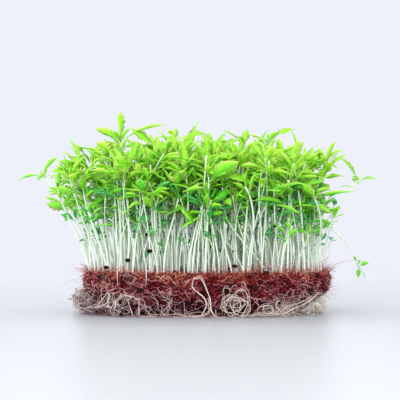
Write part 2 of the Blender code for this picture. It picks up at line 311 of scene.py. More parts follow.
def leaf_tips(node, hub):
    """The tips of a CAD crown's leaves: its farthest corner from the hub, then the farthest of those that
    lie well off the way to each tip found, and so on down to the hub's own size."""
    least, apart = 3.2 * MM, math.cos(math.radians(26))
    from_hub = corners_of(node) - hub
    reach = np.linalg.norm(from_hub, axis=1)
    way = unit(from_hub)
    tips = []
    while reach.max() > least:
        farthest = int(reach.argmax())
        tips.append(hub + from_hub[farthest])
        reach = np.where(way @ way[farthest] > apart, 0, reach)
    return np.array(tips)


def tall_seedlings():
    """Each CAD seedling as (stem line, crown, leaf tips). The crown lies just past the stem's tip."""
    found = []
    for name in SEEDLINGS:
        line = centre_line(name + "_stem")
        crown = line[-1] + unit(line[-1] - line[-2]) * 1.3 * MM
        found.append((np.vstack([line, crown]), crown, leaf_tips(name + "_leaves", crown)))
    return found


# ---------------------------------------------------------------- the pad's outline

# The usual half lengths and half depth of the pad, in millimetres, for the table of lengths round it.
USUAL_HALVES = (52.0, 52.0, 38.0)

# How far the pad's two ends and its long sides stand in from its box, at shares of its height.
SIDE_SHARES = np.array([0, 0.15, 0.42, 0.6, 0.9, 1])
LEFT_INSET = np.array([5.5, 4, 2, 1, 0.3, 1.5]) * MM
RIGHT_INSET = np.array([16, 12, 4.5, 1, 0, 1]) * MM
DEEP_INSET = np.array([3.5, 2.5, 1.5, 0.6, 0, 1]) * MM
STEP_ROUND = 0.004  # the share of the way round over which the outline's heading is taken


def outline(share, left, right, half_depth):
    """The pad's rounded outline at a share of the way round, anticlockwise from +X: x = a |cos|^(2/n) and
    y = b |sin|^(2/n), the angle read from a table so that equal shares are about equal lengths."""
    angles = np.linspace(0, TURN, 721)
    table = np.stack(rounded(angles, *USUAL_HALVES), axis=-1)
    length = np.concatenate([[0], np.cumsum(np.linalg.norm(np.diff(table, axis=0), axis=1))])
    angle = np.interp(np.mod(share, 1), length / length[-1], angles)
    return rounded(angle, left, right, half_depth)


def rounded(angle, left, right, half_depth):
    """X and Y of the superellipse at an angle, with its own half length on each side."""
    c, s = np.cos(angle), np.sin(angle)
    power = 2 / CORNER_POWER
    x = np.sign(c) * np.abs(c) ** power * np.where(c > 0, right, left)
    return x, np.sign(s) * np.abs(s) ** power * half_depth


def pad_side(share, z):
    """Points on the pad's side at a share of the way round and a height, with the ways out and round there.

    The left end is upright. The right end is upright down to the root mat, and then runs in under itself.
    """
    height = np.clip(z, 0, MAT_TOP)
    length, depth = MAT_BOX[1][0], MAT_BOX[1][1]
    left, right, deep = (
        half - np.interp(height, SIDE_SHARES * MAT_TOP, inset)
        for half, inset in ((length, LEFT_INSET), (length, RIGHT_INSET), (depth, DEEP_INSET))
    )
    x, y = outline(share, left, right, deep)
    ahead_x, ahead_y = outline(share + STEP_ROUND, left, right, deep)
    zero = np.zeros_like(x)
    point = np.stack([x, y, height + zero], axis=-1)
    around = unit(np.stack([ahead_x - x, ahead_y - y, zero], axis=-1))
    return point, np.cross(around, UP), around


def rim_share(spots, half):
    """|x/a|^n + |y/b|^n at each spot, which is 0 in the middle and 1 on the outline of these half sizes."""
    return (np.abs(spots / half) ** CORNER_POWER).sum(axis=1)


def on_pad(rng, count, inset):
    """Random places on the pad's top, this far inside its edge."""
    length, depth = MAT_BOX[1][0] - inset, MAT_BOX[1][1] - inset
    spots = rng.uniform(-1, 1, (count * 2, 2))
    return spots[rim_share(spots, 1) < 1][:count] * [length, depth]


# ---------------------------------------------------------------- leaves and stems

TOOTH_ENDS = (0.5, 0.68, 0.84)


def leaf_stations(teeth):
    """Shares along a leaf. Each tooth has a station at its point and one just past it."""
    if teeth:
        sharp = [s for end in TOOTH_ENDS for s in (end, end + 0.02)]
        return np.array(sorted([0, 0.1, 0.2, 0.3, 0.4, 0.6, 0.77, 0.93, 1, *sharp]))
    return np.array([0, 0.12, 0.24, 0.36, 0.5, 0.64, 0.78, 0.9, 1])


def leaves(rng, base, tip, lift, width, tone, thickness, teeth=True, stalk=0.14):
    """Leaf blades, each from its base to its tip as a closed lens.

    The midrib is the curve (1-v)^2 base + 2v(1-v) middle + v^2 tip, its middle raised square to the way
    there. Half the width is w/2 (0.13 + 0.87 sin(pi v'^0.95)) (1 - 0.75 v^9), where v' stays 0 along the
    stalk, times a saw-tooth wave on each edge. A ring round the blade has four points: both edges, and the
    midrib's upper and lower side. The edges are folded up by a share of the width, and the blade twists on
    its way.
    """
    count = len(base)
    v = leaf_stations(teeth)[None, :, None]
    chord = tip - base
    length = np.linalg.norm(chord, axis=1, keepdims=True)
    way = chord / length
    rise = unit(UP - dot(way, UP) * way)
    middle = (base + tip) / 2 + rise * (lift * length[:, 0])[:, None]
    path = (1 - v) ** 2 * base[:, None] + 2 * v * (1 - v) * middle[:, None] + v**2 * tip[:, None]
    tangent = unit(np.gradient(path, axis=1))
    side = unit(np.stack([-way[:, 1], way[:, 0], np.zeros(count)], axis=-1))[:, None]
    side = unit(side - dot(side, tangent) * tangent)
    up = np.cross(tangent, side)
    roll = rng.normal(0, 0.35, (count, 1, 1)) + rng.normal(0, 0.6, (count, 1, 1)) * v
    side, up = side * np.cos(roll) + up * np.sin(roll), up * np.cos(roll) - side * np.sin(roll)

    blade = 0.13 + 0.87 * np.sin(math.pi * np.clip((v - stalk) / (1 - stalk), 0, 1) ** 0.95)
    blade = blade * (1 - 0.75 * v**9)
    a = (np.arange(4) * TURN / 4)[None, None]
    across = np.cos(a)
    saw = np.zeros_like(v)
    start = 0.31
    for end in TOOTH_ENDS:
        saw = np.where((v > start) & (v <= end + 1e-6), (v - start) / (end - start), saw)
        start = end
    bite = np.where(across > 0, rng.uniform(0.1, 0.6, (count, 1, 1)), rng.uniform(0.1, 0.6, (count, 1, 1)))
    bite = bite * (rng.uniform(0, 1, (count, 1, 1)) < 0.75) * teeth
    half = width[:, None, None] / 2 * blade * (1 + bite * (saw - 0.35) * smooth_step(0.2, 0.4, v))
    fold = rng.uniform(0.05, 0.45, (count, 1, 1))
    ripple = rng.normal(0, 0.2, (count, 1, 1)) * np.sin(TURN * (1.3 * v + rng.uniform(0, 1, (count, 1, 1))))
    depth = thickness * (0.5 + 0.5 * np.minimum(blade, 1)) / 2
    lifted = depth * np.sin(a) + half * (fold * np.abs(across) + ripple * across**2 * np.sign(across))
    sideways = side[:, :, None] * (half * across)[..., None]
    rings = path[:, :, None] + sideways + up[:, :, None] * lifted[..., None]
    return ringed(rings, v, across, tone[:, None, None])


def crown_leaves(rng, crowns, ways, count, length, spread):
    """Base, tip and length of the leaves of each crown, from the top one down.

    The leaf of rank k/count sits that share of `spread` below the crown, on the stem's own way. Each next one
    stands 137.5 degrees further round. The top ones are short and upright, the low ones long and level. The
    length varies by a factor of e^n, where n is random and normal, and stops at 1.35 of the usual length.
    """
    many = len(crowns)
    rank = (np.arange(count)[None] + rng.uniform(0, 0.9, (many, count))) / count
    bearing = rng.uniform(0, TURN, (many, 1)) + math.radians(137.5) * np.arange(count)
    bearing = bearing + rng.normal(0, 0.3, (many, count))
    rise = 1.25 - 1.15 * rank**0.6 + rng.normal(0, 0.3, (many, count))
    reach = (0.45 + 0.65 * rank**0.5) * np.exp(rng.normal(-0.08, 0.3, (many, count))) * length[:, None]
    reach = np.minimum(reach, 1.35 * length[:, None])
    way = np.stack([np.cos(bearing) * np.cos(rise), np.sin(bearing) * np.cos(rise), np.sin(rise)], axis=-1)
    base = crowns[:, None] - ways[:, None] * (spread * rank**1.3)[..., None] + way * 0.2 * MM
    tip = base + way * reach[..., None]
    return base.reshape(-1, 3), tip.reshape(-1, 3), reach.reshape(-1)


LEEWAY = 6 * MM  # how far a leaf's tip may stand past the frame's box


def held_in(points, leeway):
    """Points with X and Y held to the frame's box, grown by this much, or by this much in X and this in Y."""
    low, high = (np.array(corner)[:2] for corner in FRAME_BOX)
    held = points.copy()
    held[:, :2] = np.clip(points[:, :2], low - leeway, high + leeway)
    return held


def last_way(paths):
    """The way that each path runs at its end."""
    return unit(paths[:, -1] - paths[:, -3])


STEM_DEPTH = 1.8 * MM  # how deep a stem stands in the felt
EDGE_BAND = 3.2 * MM  # how near to the mat's edge a stem's foot may show
SHOWN_FEET = 0.22  # the share of those stems whose foot shows


def stem_paths(rng, feet, crowns, stations, bow):
    """Stems from the mat to their crowns: upright at the foot, then bent over, with a slight sway. The feet
    of some at the mat's edge show on its side."""
    start = np.column_stack([feet, np.full(len(feet), MAT_TOP - STEM_DEPTH)])
    at_edge = rim_share(feet, MAT_BOX[1][:2] - EDGE_BAND) > 1
    shown = at_edge & (rng.uniform(0, 1, len(feet)) < SHOWN_FEET)
    start[shown, :2] *= 1 + EDGE_BAND / np.linalg.norm(feet[shown], axis=1, keepdims=True)
    start[shown, 2] -= rng.uniform(1, 4, shown.sum()) * MM
    rise = (crowns[:, 2] - start[:, 2])[:, None]
    low = start + UP * rise * rng.uniform(0.25, 0.5, (len(feet), 1))
    high = start + (crowns - start) * rng.uniform(0.6, 0.8, (len(feet), 1)) + bow
    shares = np.linspace(0, 1, stations)
    sway = wander(rng, len(feet), stations, 3, 0.5 * MM) * np.sin(math.pi * shares)[None, :, None]
    return bezier((start, low, high, crowns), shares) + sway * [1, 1, 0.3]


# ---------------------------------------------------------------- materials


class Value:
    """A number or colour that a material works out at each point. Arithmetic on it adds Math nodes."""

    def __init__(self, finish, socket):
        self.finish = finish
        self.socket = socket

    def __add__(self, other):
        return self.finish.maths("ADD", self, other)

    def __sub__(self, other):
        return self.finish.maths("SUBTRACT", self, other)

    def __mul__(self, other):
        return self.finish.maths("MULTIPLY", self, other)

    def __pow__(self, other):
        return self.finish.maths("POWER", self, other)

    def __rsub__(self, other):
        return self.finish.maths("SUBTRACT", other, self)

    def __abs__(self):
        return self.finish.maths("ABSOLUTE", self)

    __radd__ = __add__
    __rmul__ = __mul__


class Finish:
    """A material that is being made."""

    def __init__(self, name):
        self.material = bpy.data.materials.new(name)
        self.material.use_nodes = True
        self.tree = self.material.node_tree
        self.tree.nodes.clear()

    def node(self, kind, settings=None, sockets=None, output=0):
        """Adds one node: its settings first, then the values or links of its sockets."""
        made = self.tree.nodes.new(kind)
        for key, value in (settings or {}).items():
            if key == "stops":
                self.set_stops(made.color_ramp, value)
            else:
                setattr(made, key, value)
        for key, value in (sockets or {}).items():
            found = made.inputs[key] if isinstance(key, int) else self.find(made, key)
            if isinstance(value, Value):
                self.tree.links.new(value.socket, found)
            elif found.type == "RGBA":
                found.default_value = (*value, 1)
            else:
                found.default_value = value
        return Value(self, made.outputs[output] if made.outputs else None)

    @staticmethod
    def find(node, key):
        """The socket of this name or, where several share a name, of this identifier."""
        return next(socket for socket in node.inputs if key in (socket.identifier, socket.name))

    @staticmethod
    def set_stops(ramp, stops):
        """Makes a ramp's stops from (position, colour) pairs."""
        while len(ramp.elements) < len(stops):
            ramp.elements.new(1)
        for element, (position, colour) in zip(ramp.elements, stops):
            element.position = position
            element.color = (*colour, 1)

    def maths(self, operation, *values):
        """The outcome of one operation on these values."""
        return self.node("ShaderNodeMath", {"operation": operation}, dict(enumerate(values)))

    def clamped(self, value):
        """The value, held between 0 and 1."""
        return self.node("ShaderNodeClamp", {}, {"Value": value})

    def mix(self, share, low, high):
        """The colour this share of the way from low to high."""
        sockets = {"Factor_Float": share, "A_Color": low, "B_Color": high}
        return self.node("ShaderNodeMix", {"data_type": "RGBA"}, sockets, output=2)

    def ramp(self, value, *stops):
        """The colour at this value between (position, colour) stops."""
        return self.node("ShaderNodeValToRGB", {"stops": stops}, {"Fac": value})

    def split(self, vector):
        """The three parts of a vector."""
        parts = self.node("ShaderNodeSeparateXYZ", {}, {"Vector": vector}).socket.node
        return [Value(self, socket) for socket in parts.outputs]

    def place(self):
        """The share along, the share across and the tone of each item of a piece."""
        return self.split(self.node("ShaderNodeAttribute", {"attribute_name": "place"}, output=1))

    def object_space(self):
        """Each point's own place in metres."""
        return self.node("ShaderNodeTexCoord", output=3)

    def noise(self, lump, detail=3.0):
        """A noise whose lumps are about this size in metres."""
        sockets = {"Vector": self.object_space(), "Scale": 1 / lump, "Detail": detail}
        return self.node("ShaderNodeTexNoise", {}, sockets)

    def bump(self, height, distance, strength=1.0):
        """A normal that is bent as a relief of this height, times a distance in metres, would bend it."""
        sockets = {"Height": height, "Distance": distance, "Strength": strength}
        return self.node("ShaderNodeBump", {}, sockets)

    def finished(self, **sockets):
        """Ends in one Principled shader with these sockets, underscores standing for spaces."""
        named = {key.replace("_", " "): value for key, value in sockets.items()}
        shader = self.node("ShaderNodeBsdfPrincipled", {}, named)
        self.node("ShaderNodeOutputMaterial", {}, {"Surface": shader})
        return self.material


def leaf_finish(name, low, high, pale_colour):
    """A fresh leaf: pale at its base and along its midrib, faint side veins, a slightly uneven green."""
    f = Finish(name)
    along, across, tone = f.place()
    mottle = f.noise(2.2 * MM)
    green = f.mix(f.clamped(tone + (mottle - 0.5) * 0.5), low, high)
    rib = f.clamped(1 - abs(across) * 5)
    wave = f.maths("SINE", (along - abs(across) * 0.12) * 62)
    veins = f.clamped(wave * 2 - 1) * 0.16
    foot = f.clamped(1 - along * 5)
    pale = f.clamped(rib * 0.4 * (1 - along) + foot * 0.8 + veins)
    edge = f.clamped(abs(across) * 3 - 2.2) * 0.25
    colour = f.mix(edge, f.mix(pale, green, pale_colour), high)
    height = rib * 0.6 + veins * 2 + mottle * 0.5
    return f.finished(
        Base_Color=colour,
        Roughness=0.38 + mottle * 0.16,
        Normal=f.bump(height, 0.12 * MM, 0.6),
        Subsurface_Weight=0.9,
        Subsurface_Radius=(1.0, 0.9, 0.8),
        Subsurface_Scale=1.6 * MM,
        Specular_IOR_Level=0.12,
    )


def stem_finish(name, own):
    """A stem: whitish above the mat, greener to its crown, with faint lengthwise streaks."""
    f = Finish(name)
    along, across, tone = f.place()
    streak = f.maths("SINE", across * 9 + tone * 30)
    share = f.clamped(along * 0.75 + tone * 0.35 + streak * 0.06 - 0.1)
    colour = f.mix(share, own.stem_white, own.stem_green)
    return f.finished(
        Base_Color=colour,
        Roughness=0.42 + streak * 0.05,
        Normal=f.bump(streak + f.noise(1.2 * MM), 0.05 * MM, 0.5),
        Subsurface_Weight=0.9,
        Subsurface_Radius=(1.0, 1.0, 0.8),
        Subsurface_Scale=2.5 * MM,
        Specular_IOR_Level=0.5,
    )


RUST_DEPTH = 5 * MM
RUST_BLEND = 6 * MM


def fibre_finish(name, stops, lumps, top_stops=None):
    """Fibres whose colour goes by each one's tone, with large and small patches over the pad; the small
    patches are partly painted shade, darker where they stand for hollows in the felt. The mat's upper part
    may have stops of its own, whose share rises over RUST_BLEND from RUST_DEPTH below the top."""
    f = Finish(name)
    _, _, tone = f.place()
    patch = f.noise(lumps)
    # Painted shade: these small patches darken fibres as if they lay in hollows of the felt, and lighten
    # others.
    hollow_shade = f.noise(0.3 * lumps, 2.0)
    share = f.clamped(tone + (patch - 0.5) + (hollow_shade - 0.5) * 0.9)
    colour = f.ramp(share, *stops)
    if top_stops:
        _, _, height = f.split(f.object_space())
        upper = f.clamped((height - MAT_TOP + RUST_DEPTH) * (1 / RUST_BLEND) + (patch - 0.5) * 2)
        colour = f.mix(upper, colour, f.ramp(share, *top_stops))
    grain = f.noise(0.5 * MM, 2.0)
    return f.finished(
        Base_Color=colour,
        Roughness=0.72 + grain * 0.2,
        Normal=f.bump(grain, 0.05 * MM, 0.6),
        Specular_IOR_Level=0.12,
    )


def core_finish(name, low, high, lumps):
    """The packed fibre behind the loose ones: uneven, from a dark colour to a lighter one, and lumpy."""
    f = Finish(name)
    coarse = f.noise(lumps, 4.0)
    fine = f.noise(0.8 * MM, 4.0)
    colour = f.mix(f.clamped(coarse * 1.1 + fine * 0.9 - 0.55), low, high)
    return f.finished(
        Base_Color=colour, Roughness=0.85 + fine * 0.1, Normal=f.bump(fine + coarse, 0.8 * MM, 0.9)
    )


def root_finish(name, stops, roughness=0.45):
    """Smooth roots, whose colour goes by each one's tone with small blotches."""
    f = Finish(name)
    _, _, tone = f.place()
    blotch = f.noise(1.6 * MM)
    colour = f.ramp(f.clamped(tone + (blotch - 0.5) * 0.35), *stops)
    return f.finished(
        Base_Color=colour,
        Roughness=roughness + blotch * 0.2,
        Normal=f.bump(blotch, 0.05 * MM, 0.5),
        Subsurface_Weight=0.25,
        Subsurface_Radius=(1.0, 0.7, 0.6),
        Subsurface_Scale=0.5 * MM,
    )


def seed_finish(name, own):
    """A spent seed coat: dark red-brown, finely pitted, dull with a slight sheen."""
    f = Finish(name)
    _, _, tone = f.place()
    pits = f.noise(0.35 * MM)
    colour = f.mix(f.clamped(tone * 0.6 + pits * 0.5 - 0.1), own.seed_dark, own.seed_brown)
    return f.finished(
        Base_Color=colour,
        Roughness=0.6 + pits * 0.3,
        Normal=f.bump(pits, 0.12 * MM, 0.8),
        Specular_IOR_Level=0.06,
    )


# ---------------------------------------------------------------- settings


def size(name, description, default):
    """A length in a group of settings."""
    kind = {"subtype": "DISTANCE", "unit": "LENGTH"}
    return FloatProperty(name=name, description=description, default=default, **kind)


def colour(name, description, default):
    """A colour in a group of settings."""
    kind = {"size": 3, "subtype": "COLOR"}
    return FloatVectorProperty(name=name, description=description, default=default, **kind)


def number(name, description, default):
    """A count in a group of settings."""
    return IntProperty(name=name, description=description, default=default, min=1)


class CressSizes(PropertyGroup):
    """Sizes and counts of the block's pieces."""

    stem_radius: size("Stem radius", "Radius of a full-grown stem at its foot", 0.43 * MM)
    leaf_length: size("Leaf length", "Usual length of a leaf in the crowd", 10.8 * MM)
    leaf_thickness: size("Leaf thickness", "Thickness of a leaf at its midrib", 0.34 * MM)
    seedling_gap: size("Seedling gap", "Usual distance between two stems on the mat", 5.1 * MM)
    fibre_radius: size("Fibre radius", "Radius of a fibre of the mat", 0.088 * MM)
    root_radius: size("Root radius", "Radius of a fine root", 0.1 * MM)
    canopy_height: size("Canopy height", "Height of the highest crowns in the crowd", 72 * MM)
    young_count: number("Young seedlings", "How many short seedlings stand among the tall ones", 230)
    fibre_count: number("Felt fibres", "How many loose fibres show on each quarter of the mat's side", 4200)
    thread_count: number("Pale threads", "How many pale threads run over the mat's side", 480)
    fuzz_count: number("Fuzz", "How many fibres stand up from the mat's top", 5200)
    root_count: number("Fine roots", "How many fine roots creep over the root mat, and how many fall", 170)


class CressColours(PropertyGroup):
    """Colours of the block's pieces."""

    # Painted light and shade: leaves are lit and shaded copies, from the deep colour low in the crowd to the
    # fresh one lit at the top. The deep and young colours are partly the leaves' own darker green and partly
    # painted shade of the lower canopy.
    leaf_fresh: colour("Fresh leaf", "Young leaf in full light", (0.195, 0.535, 0.010))
    leaf_shaded: colour("Deep leaf", "Older leaf low in the crowd", (0.04, 0.52, 0.012))
    young_deep: colour("Young leaf", "Leaf of a short seedling", (0.012, 0.22, 0.055))
    leaf_pale: colour("Leaf base", "Base and veins of a leaf", (0.42, 0.75, 0.16))
    stem_white: colour("Stem foot", "Stem just above the mat", (0.80, 0.92, 0.74))
    stem_green: colour("Stem top", "Stem under its crown", (0.55, 0.90, 0.40))
    seed_dark: colour("Seed coat", "Dark side of a seed coat", (0.004, 0.003, 0.005))
    seed_brown: colour("Seed coat, worn", "Worn side of a seed coat", (0.030, 0.010, 0.010))
    floor: colour("Floor", "The surface that the block stands on", (0.356, 0.361, 0.376))
    air: colour("Background", "The light round the block", (0.855, 0.88, 0.955))


class CressStage(PropertyGroup):
    """The camera and the lights."""

    camera_distance: size("Camera distance", "From the block's middle to the camera", 520 * MM)
    camera_height: size("Camera height", "Above the floor", 34 * MM)
    camera_lens: FloatProperty(name="Lens", description="Focal length in millimetres", default=105.4)
    floor_depth: size("Floor depth", "How far the floor runs on behind the block", 712 * MM)
    key_power: FloatProperty(name="Key light", description="Power of the large light overhead", default=18.0)
    fill_power: FloatProperty(name="Fill light", description="Power of the soft light in front", default=22.0)


def sizes():
    """The scene's sizes and counts."""
    return bpy.context.scene.cress_sizes


def colours():
    """The scene's colours."""
    return bpy.context.scene.cress_colours


def leaf_colours():
    """The low, the high and the pale colour of a full-grown leaf."""
    return colours().leaf_shaded, colours().leaf_fresh, colours().leaf_pale


# ---------------------------------------------------------------- operators

# The dark and the light colour of the packed fibre. The root mat's is near black: the fibre's own dark red
# with painted shade of the pockets between its fibres and roots.
FELT_CORE = (0.012, 0.001, 0.002), (0.30, 0.012, 0.016)
ROOT_MAT_CORE = (0.003, 0.0005, 0.002), (0.06, 0.006, 0.014)

# Colours of fibres and roots at tones from 0 to 1.
RUST_STOPS = (
    (0.0, (0.02, 0.002, 0.001)),
    (0.25, (0.075, 0.004, 0.002)),
    (0.5, (0.31, 0.024, 0.014)),
    (0.75, (0.50, 0.10, 0.05)),
    (1.0, (0.76, 0.44, 0.32)),
)
MAT_STOPS = (
    (0.0, (0.012, 0.001, 0.002)),
    (0.25, (0.055, 0.001, 0.004)),
    (0.5, (0.27, 0.007, 0.020)),
    (0.75, (0.46, 0.055, 0.070)),
    (1.0, (0.74, 0.38, 0.38)),
)
ROOT_MAT_STOPS = (
    (0.0, (0.004, 0.0006, 0.002)),
    (0.3, (0.016, 0.001, 0.006)),
    (0.6, (0.12, 0.008, 0.032)),
    (0.85, (0.38, 0.10, 0.16)),
    (1.0, (0.70, 0.44, 0.47)),
)
THREAD_STOPS = (
    (0.0, (0.52, 0.14, 0.13)),
    (0.5, (0.76, 0.40, 0.37)),
    (1.0, (0.88, 0.64, 0.58)),
)
ROOT_STOPS = (
    (0.0, (0.15, 0.03, 0.06)),
    (0.4, (0.34, 0.15, 0.19)),
    (0.75, (0.62, 0.44, 0.44)),
    (1.0, (0.86, 0.76, 0.68)),
)
FRONT_STOPS = (
    (0.0, (0.30, 0.18, 0.15)),
    (0.5, (0.58, 0.45, 0.37)),
    (1.0, (0.84, 0.75, 0.64)),
)
FRINGE_STOPS = (
    (0.0, (0.56, 0.36, 0.28)),
    (0.5, (0.84, 0.74, 0.60)),
    (1.0, (0.92, 0.88, 0.76)),
)
BUNDLE_STOPS = (
    (0.0, (0.09, 0.045, 0.045)),
    (0.4, (0.29, 0.20, 0.19)),
    (0.75, (0.54, 0.44, 0.41)),
    (1.0, (0.80, 0.72, 0.68)),
)
HAIR_STOPS = (
    (0.0, (0.12, 0.008, 0.008)),
    (0.4, (0.42, 0.07, 0.045)),
    (0.75, (0.64, 0.26, 0.19)),
    (1.0, (0.86, 0.68, 0.60)),
)


def side_fibres(rng, shares, heights, length, radius, lean, tone):
    """Loose fibres on the pad's side: each is a curled line that lies in the side and bulges out by a half
    sine wave."""
    count, stations = len(shares), 7
    heading = rng.normal(0, lean, count) + np.where(rng.uniform(0, 1, count) < 0.5, 0, math.pi)
    u, v = curled(rng, heading, length * rng.uniform(0.5, 1.4, count), stations, 0.9)
    height = heights[:, None] + v
    at, out, _ = pad_side((shares[:, None] + u / PAD_GIRTH).ravel(), height.ravel())
    at, out = at.reshape(count, stations, 3), out.reshape(count, stations, 3)
    s = np.linspace(-0.5, 0.5, stations)
    bulge = rng.gamma(1.3, 0.3 * MM, (count, 1)) * np.cos(math.pi * s)
    bulge = bulge - rng.uniform(0.1, 0.9, (count, 1)) * MM
    path = at + out * bulge[..., None]
    path[..., 2] = np.clip(height, 0.3 * MM, MAT_TOP + 0.8 * MM)
    radii = radius * rng.uniform(0.55, 1.35, (count, 1)) * np.array([0.5, 0.9, 1, 1, 1, 0.9, 0.45])
    return rods(path, radii, 3, tone)


def pad_core(rng, low, high, sink, lump):
    """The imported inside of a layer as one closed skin: outlines of the pad's side at rising heights, closed
    in to the middle above and below, pushed in and out by a rough field."""
    sides, rise, flat = 220, 14, 10
    shares = np.arange(sides) / sides
    heights = np.concatenate([np.full(flat, low), np.linspace(low, high, rise), np.full(flat, high)])
    spread = np.concatenate([np.linspace(0.02, 0.97, flat), np.ones(rise), np.linspace(0.97, 0.02, flat)])
    rings = []
    for height, share in zip(heights, spread):
        point, out, _ = pad_side(shares, np.full(sides, height))
        rings.append((point - out * sink) * [share, share, 1])
    rings = np.array(rings)[None]
    middle = np.array([0, 0, (low + high) / 2])
    away = unit((rings - middle) * [0.3, 0.4, 1 / (high - low) * 30 * MM])
    push = 0.6 * rough(rng, rings, 4 * MM) + 0.4 * rough(rng, rings, 1.6 * MM)
    rings = grounded(rings + away * (push * lump)[..., None], 0)
    along = np.linspace(0, 1, len(heights))[None, :, None]
    return ringed(rings, along, 0.0, 0.5)


class CRESS_OT_felt_mat(Operator):
    """Makes the felted mat: its packed core, the loose fibres of its side and the fuzz on its top"""

    bl_idname = "cress.felt_mat"
    bl_label = "Felted mat"

    def execute(self, context):
        rng = np.random.default_rng(11)
        fibre = fibre_finish("felt_fibre", MAT_STOPS, 9 * MM, RUST_STOPS)
        core = core_finish("felt_core", *FELT_CORE, 3 * MM)
        surface = pad_core(rng, MAT_BOTTOM - 0.6 * MM, MAT_TOP - 0.6 * MM, 1.3 * MM, 0.8 * MM)
        add_piece("felt_core", surface, core, ["growing_mat"])
        count = sizes().fibre_count
        for quarter in range(4):
            shares = (quarter + rng.uniform(0, 1, count)) / 4
            heights = rng.uniform(MAT_BOTTOM, MAT_TOP + 0.4 * MM, count)
            tone = rng.beta(1.0, 1.5, count)
            surface = side_fibres(rng, shares, heights, 4.4 * MM, sizes().fibre_radius, 0.8, tone)
            add_piece(f"felt_fibres_{quarter + 1}", surface, fibre)
        thread = fibre_finish("felt_thread", THREAD_STOPS, 9 * MM)
        add_piece("felt_threads", self.threads(rng), thread)
        add_piece("felt_fuzz", self.fuzz(rng), fibre_finish("felt_fuzz", HAIR_STOPS, 14 * MM))
        return {"FINISHED"}

    def threads(self, rng):
        """Pale threads that run about level over the mat's side, either way round."""
        count = sizes().thread_count
        heights = rng.uniform(MAT_BOTTOM - 1 * MM, MAT_TOP - 0.5 * MM, count)
        heading = rng.normal(0, 0.35, count) + math.pi * (rng.uniform(0, 1, count) < 0.5)
        length = 9 * MM * rng.uniform(0.3, 1.2, count)
        tone = rng.beta(1.1, 1.8, count)
        shares = rng.uniform(0, 1, count)
        return side_roots(rng, shares, heights, heading, length, 0.4, 0.3 * MM, 0.065 * MM, tone, 12)

    def fuzz(self, rng):
        """Fibres that stand up from the top, half of them near its edge, and lean over: foot + height
        (s up + lean s^2) with curls."""
        half = sizes().fuzz_count // 2
        spots = on_pad(rng, half, 0.5 * MM)
        rim, out, _ = pad_side(rng.uniform(0, 1, half), np.full(half, MAT_TOP))
        rim = rim - out * rng.uniform(-0.6, 5, (len(rim), 1)) * MM
        spots = np.vstack([spots, rim[:, :2]])
        count = len(spots)
        s = np.linspace(0, 1, 6)[None, :, None]
        clump = 0.75 + 0.55 * rough(rng, np.column_stack([spots, np.zeros(count)]), 9 * MM)
        clump = clump * (1 + 0.3 * smooth_step(5 * MM, 40 * MM, spots[:, 0]))
        height = (0.8 * MM + rng.gamma(2.2, 0.7 * MM, count) * np.clip(clump, 0.2, 2))[:, None, None]
        lean = np.concatenate([rng.normal(0, 1.1, (count, 1, 2)), np.zeros((count, 1, 1))], axis=2)
        foot = np.column_stack([spots, np.full(count, MAT_TOP - 0.9 * MM)])[:, None]
        path = foot + height * (s * UP + lean * s**2) + wander(rng, count, 6, 3, 0.55 * MM) * s
        radii = 0.1 * MM * rng.uniform(0.6, 1.3, (count, 1)) * np.linspace(1, 0.35, 6)
        return rods(path, radii, 3, rng.beta(1.6, 1.8, count))


def side_roots(rng, shares, heights, heading, length, curl, out_by, radius, tone, stations=26):
    """Threads that creep over the pad's side as curled lines. One that comes down to the ground runs on
    along it, and spreads out from the pad by half of what it would have gone further down. One that climbs
    to the pad's top turns down again."""
    count = len(shares)
    u, v = curled(rng, heading, length, stations, curl)
    height = heights[:, None] + v
    ground = 0.35 * MM
    spread = np.clip(0.5 * (ground - height), 0, 3 * MM)
    top = np.minimum(MAT_TOP - 0.5 * MM, heights[:, None] + 4 * MM)
    height = np.maximum(np.where(height > top, 2 * top - height, height), ground)
    at, out, _ = pad_side((shares[:, None] + u / PAD_GIRTH).ravel(), height.ravel())
    at, out = at.reshape(count, stations, 3), out.reshape(count, stations, 3)
    s = np.linspace(0, 1, stations)[None]
    swell = wander(rng, count, stations, 5, 0.7 * MM)[..., 0] + out_by * np.sin(math.pi * s)
    path = at + out * (swell + spread)[..., None]
    taper = 1 - 0.6 * s
    return rods(path, radius * rng.uniform(0.6, 1.5, (count, 1)) * taper, 4, tone)


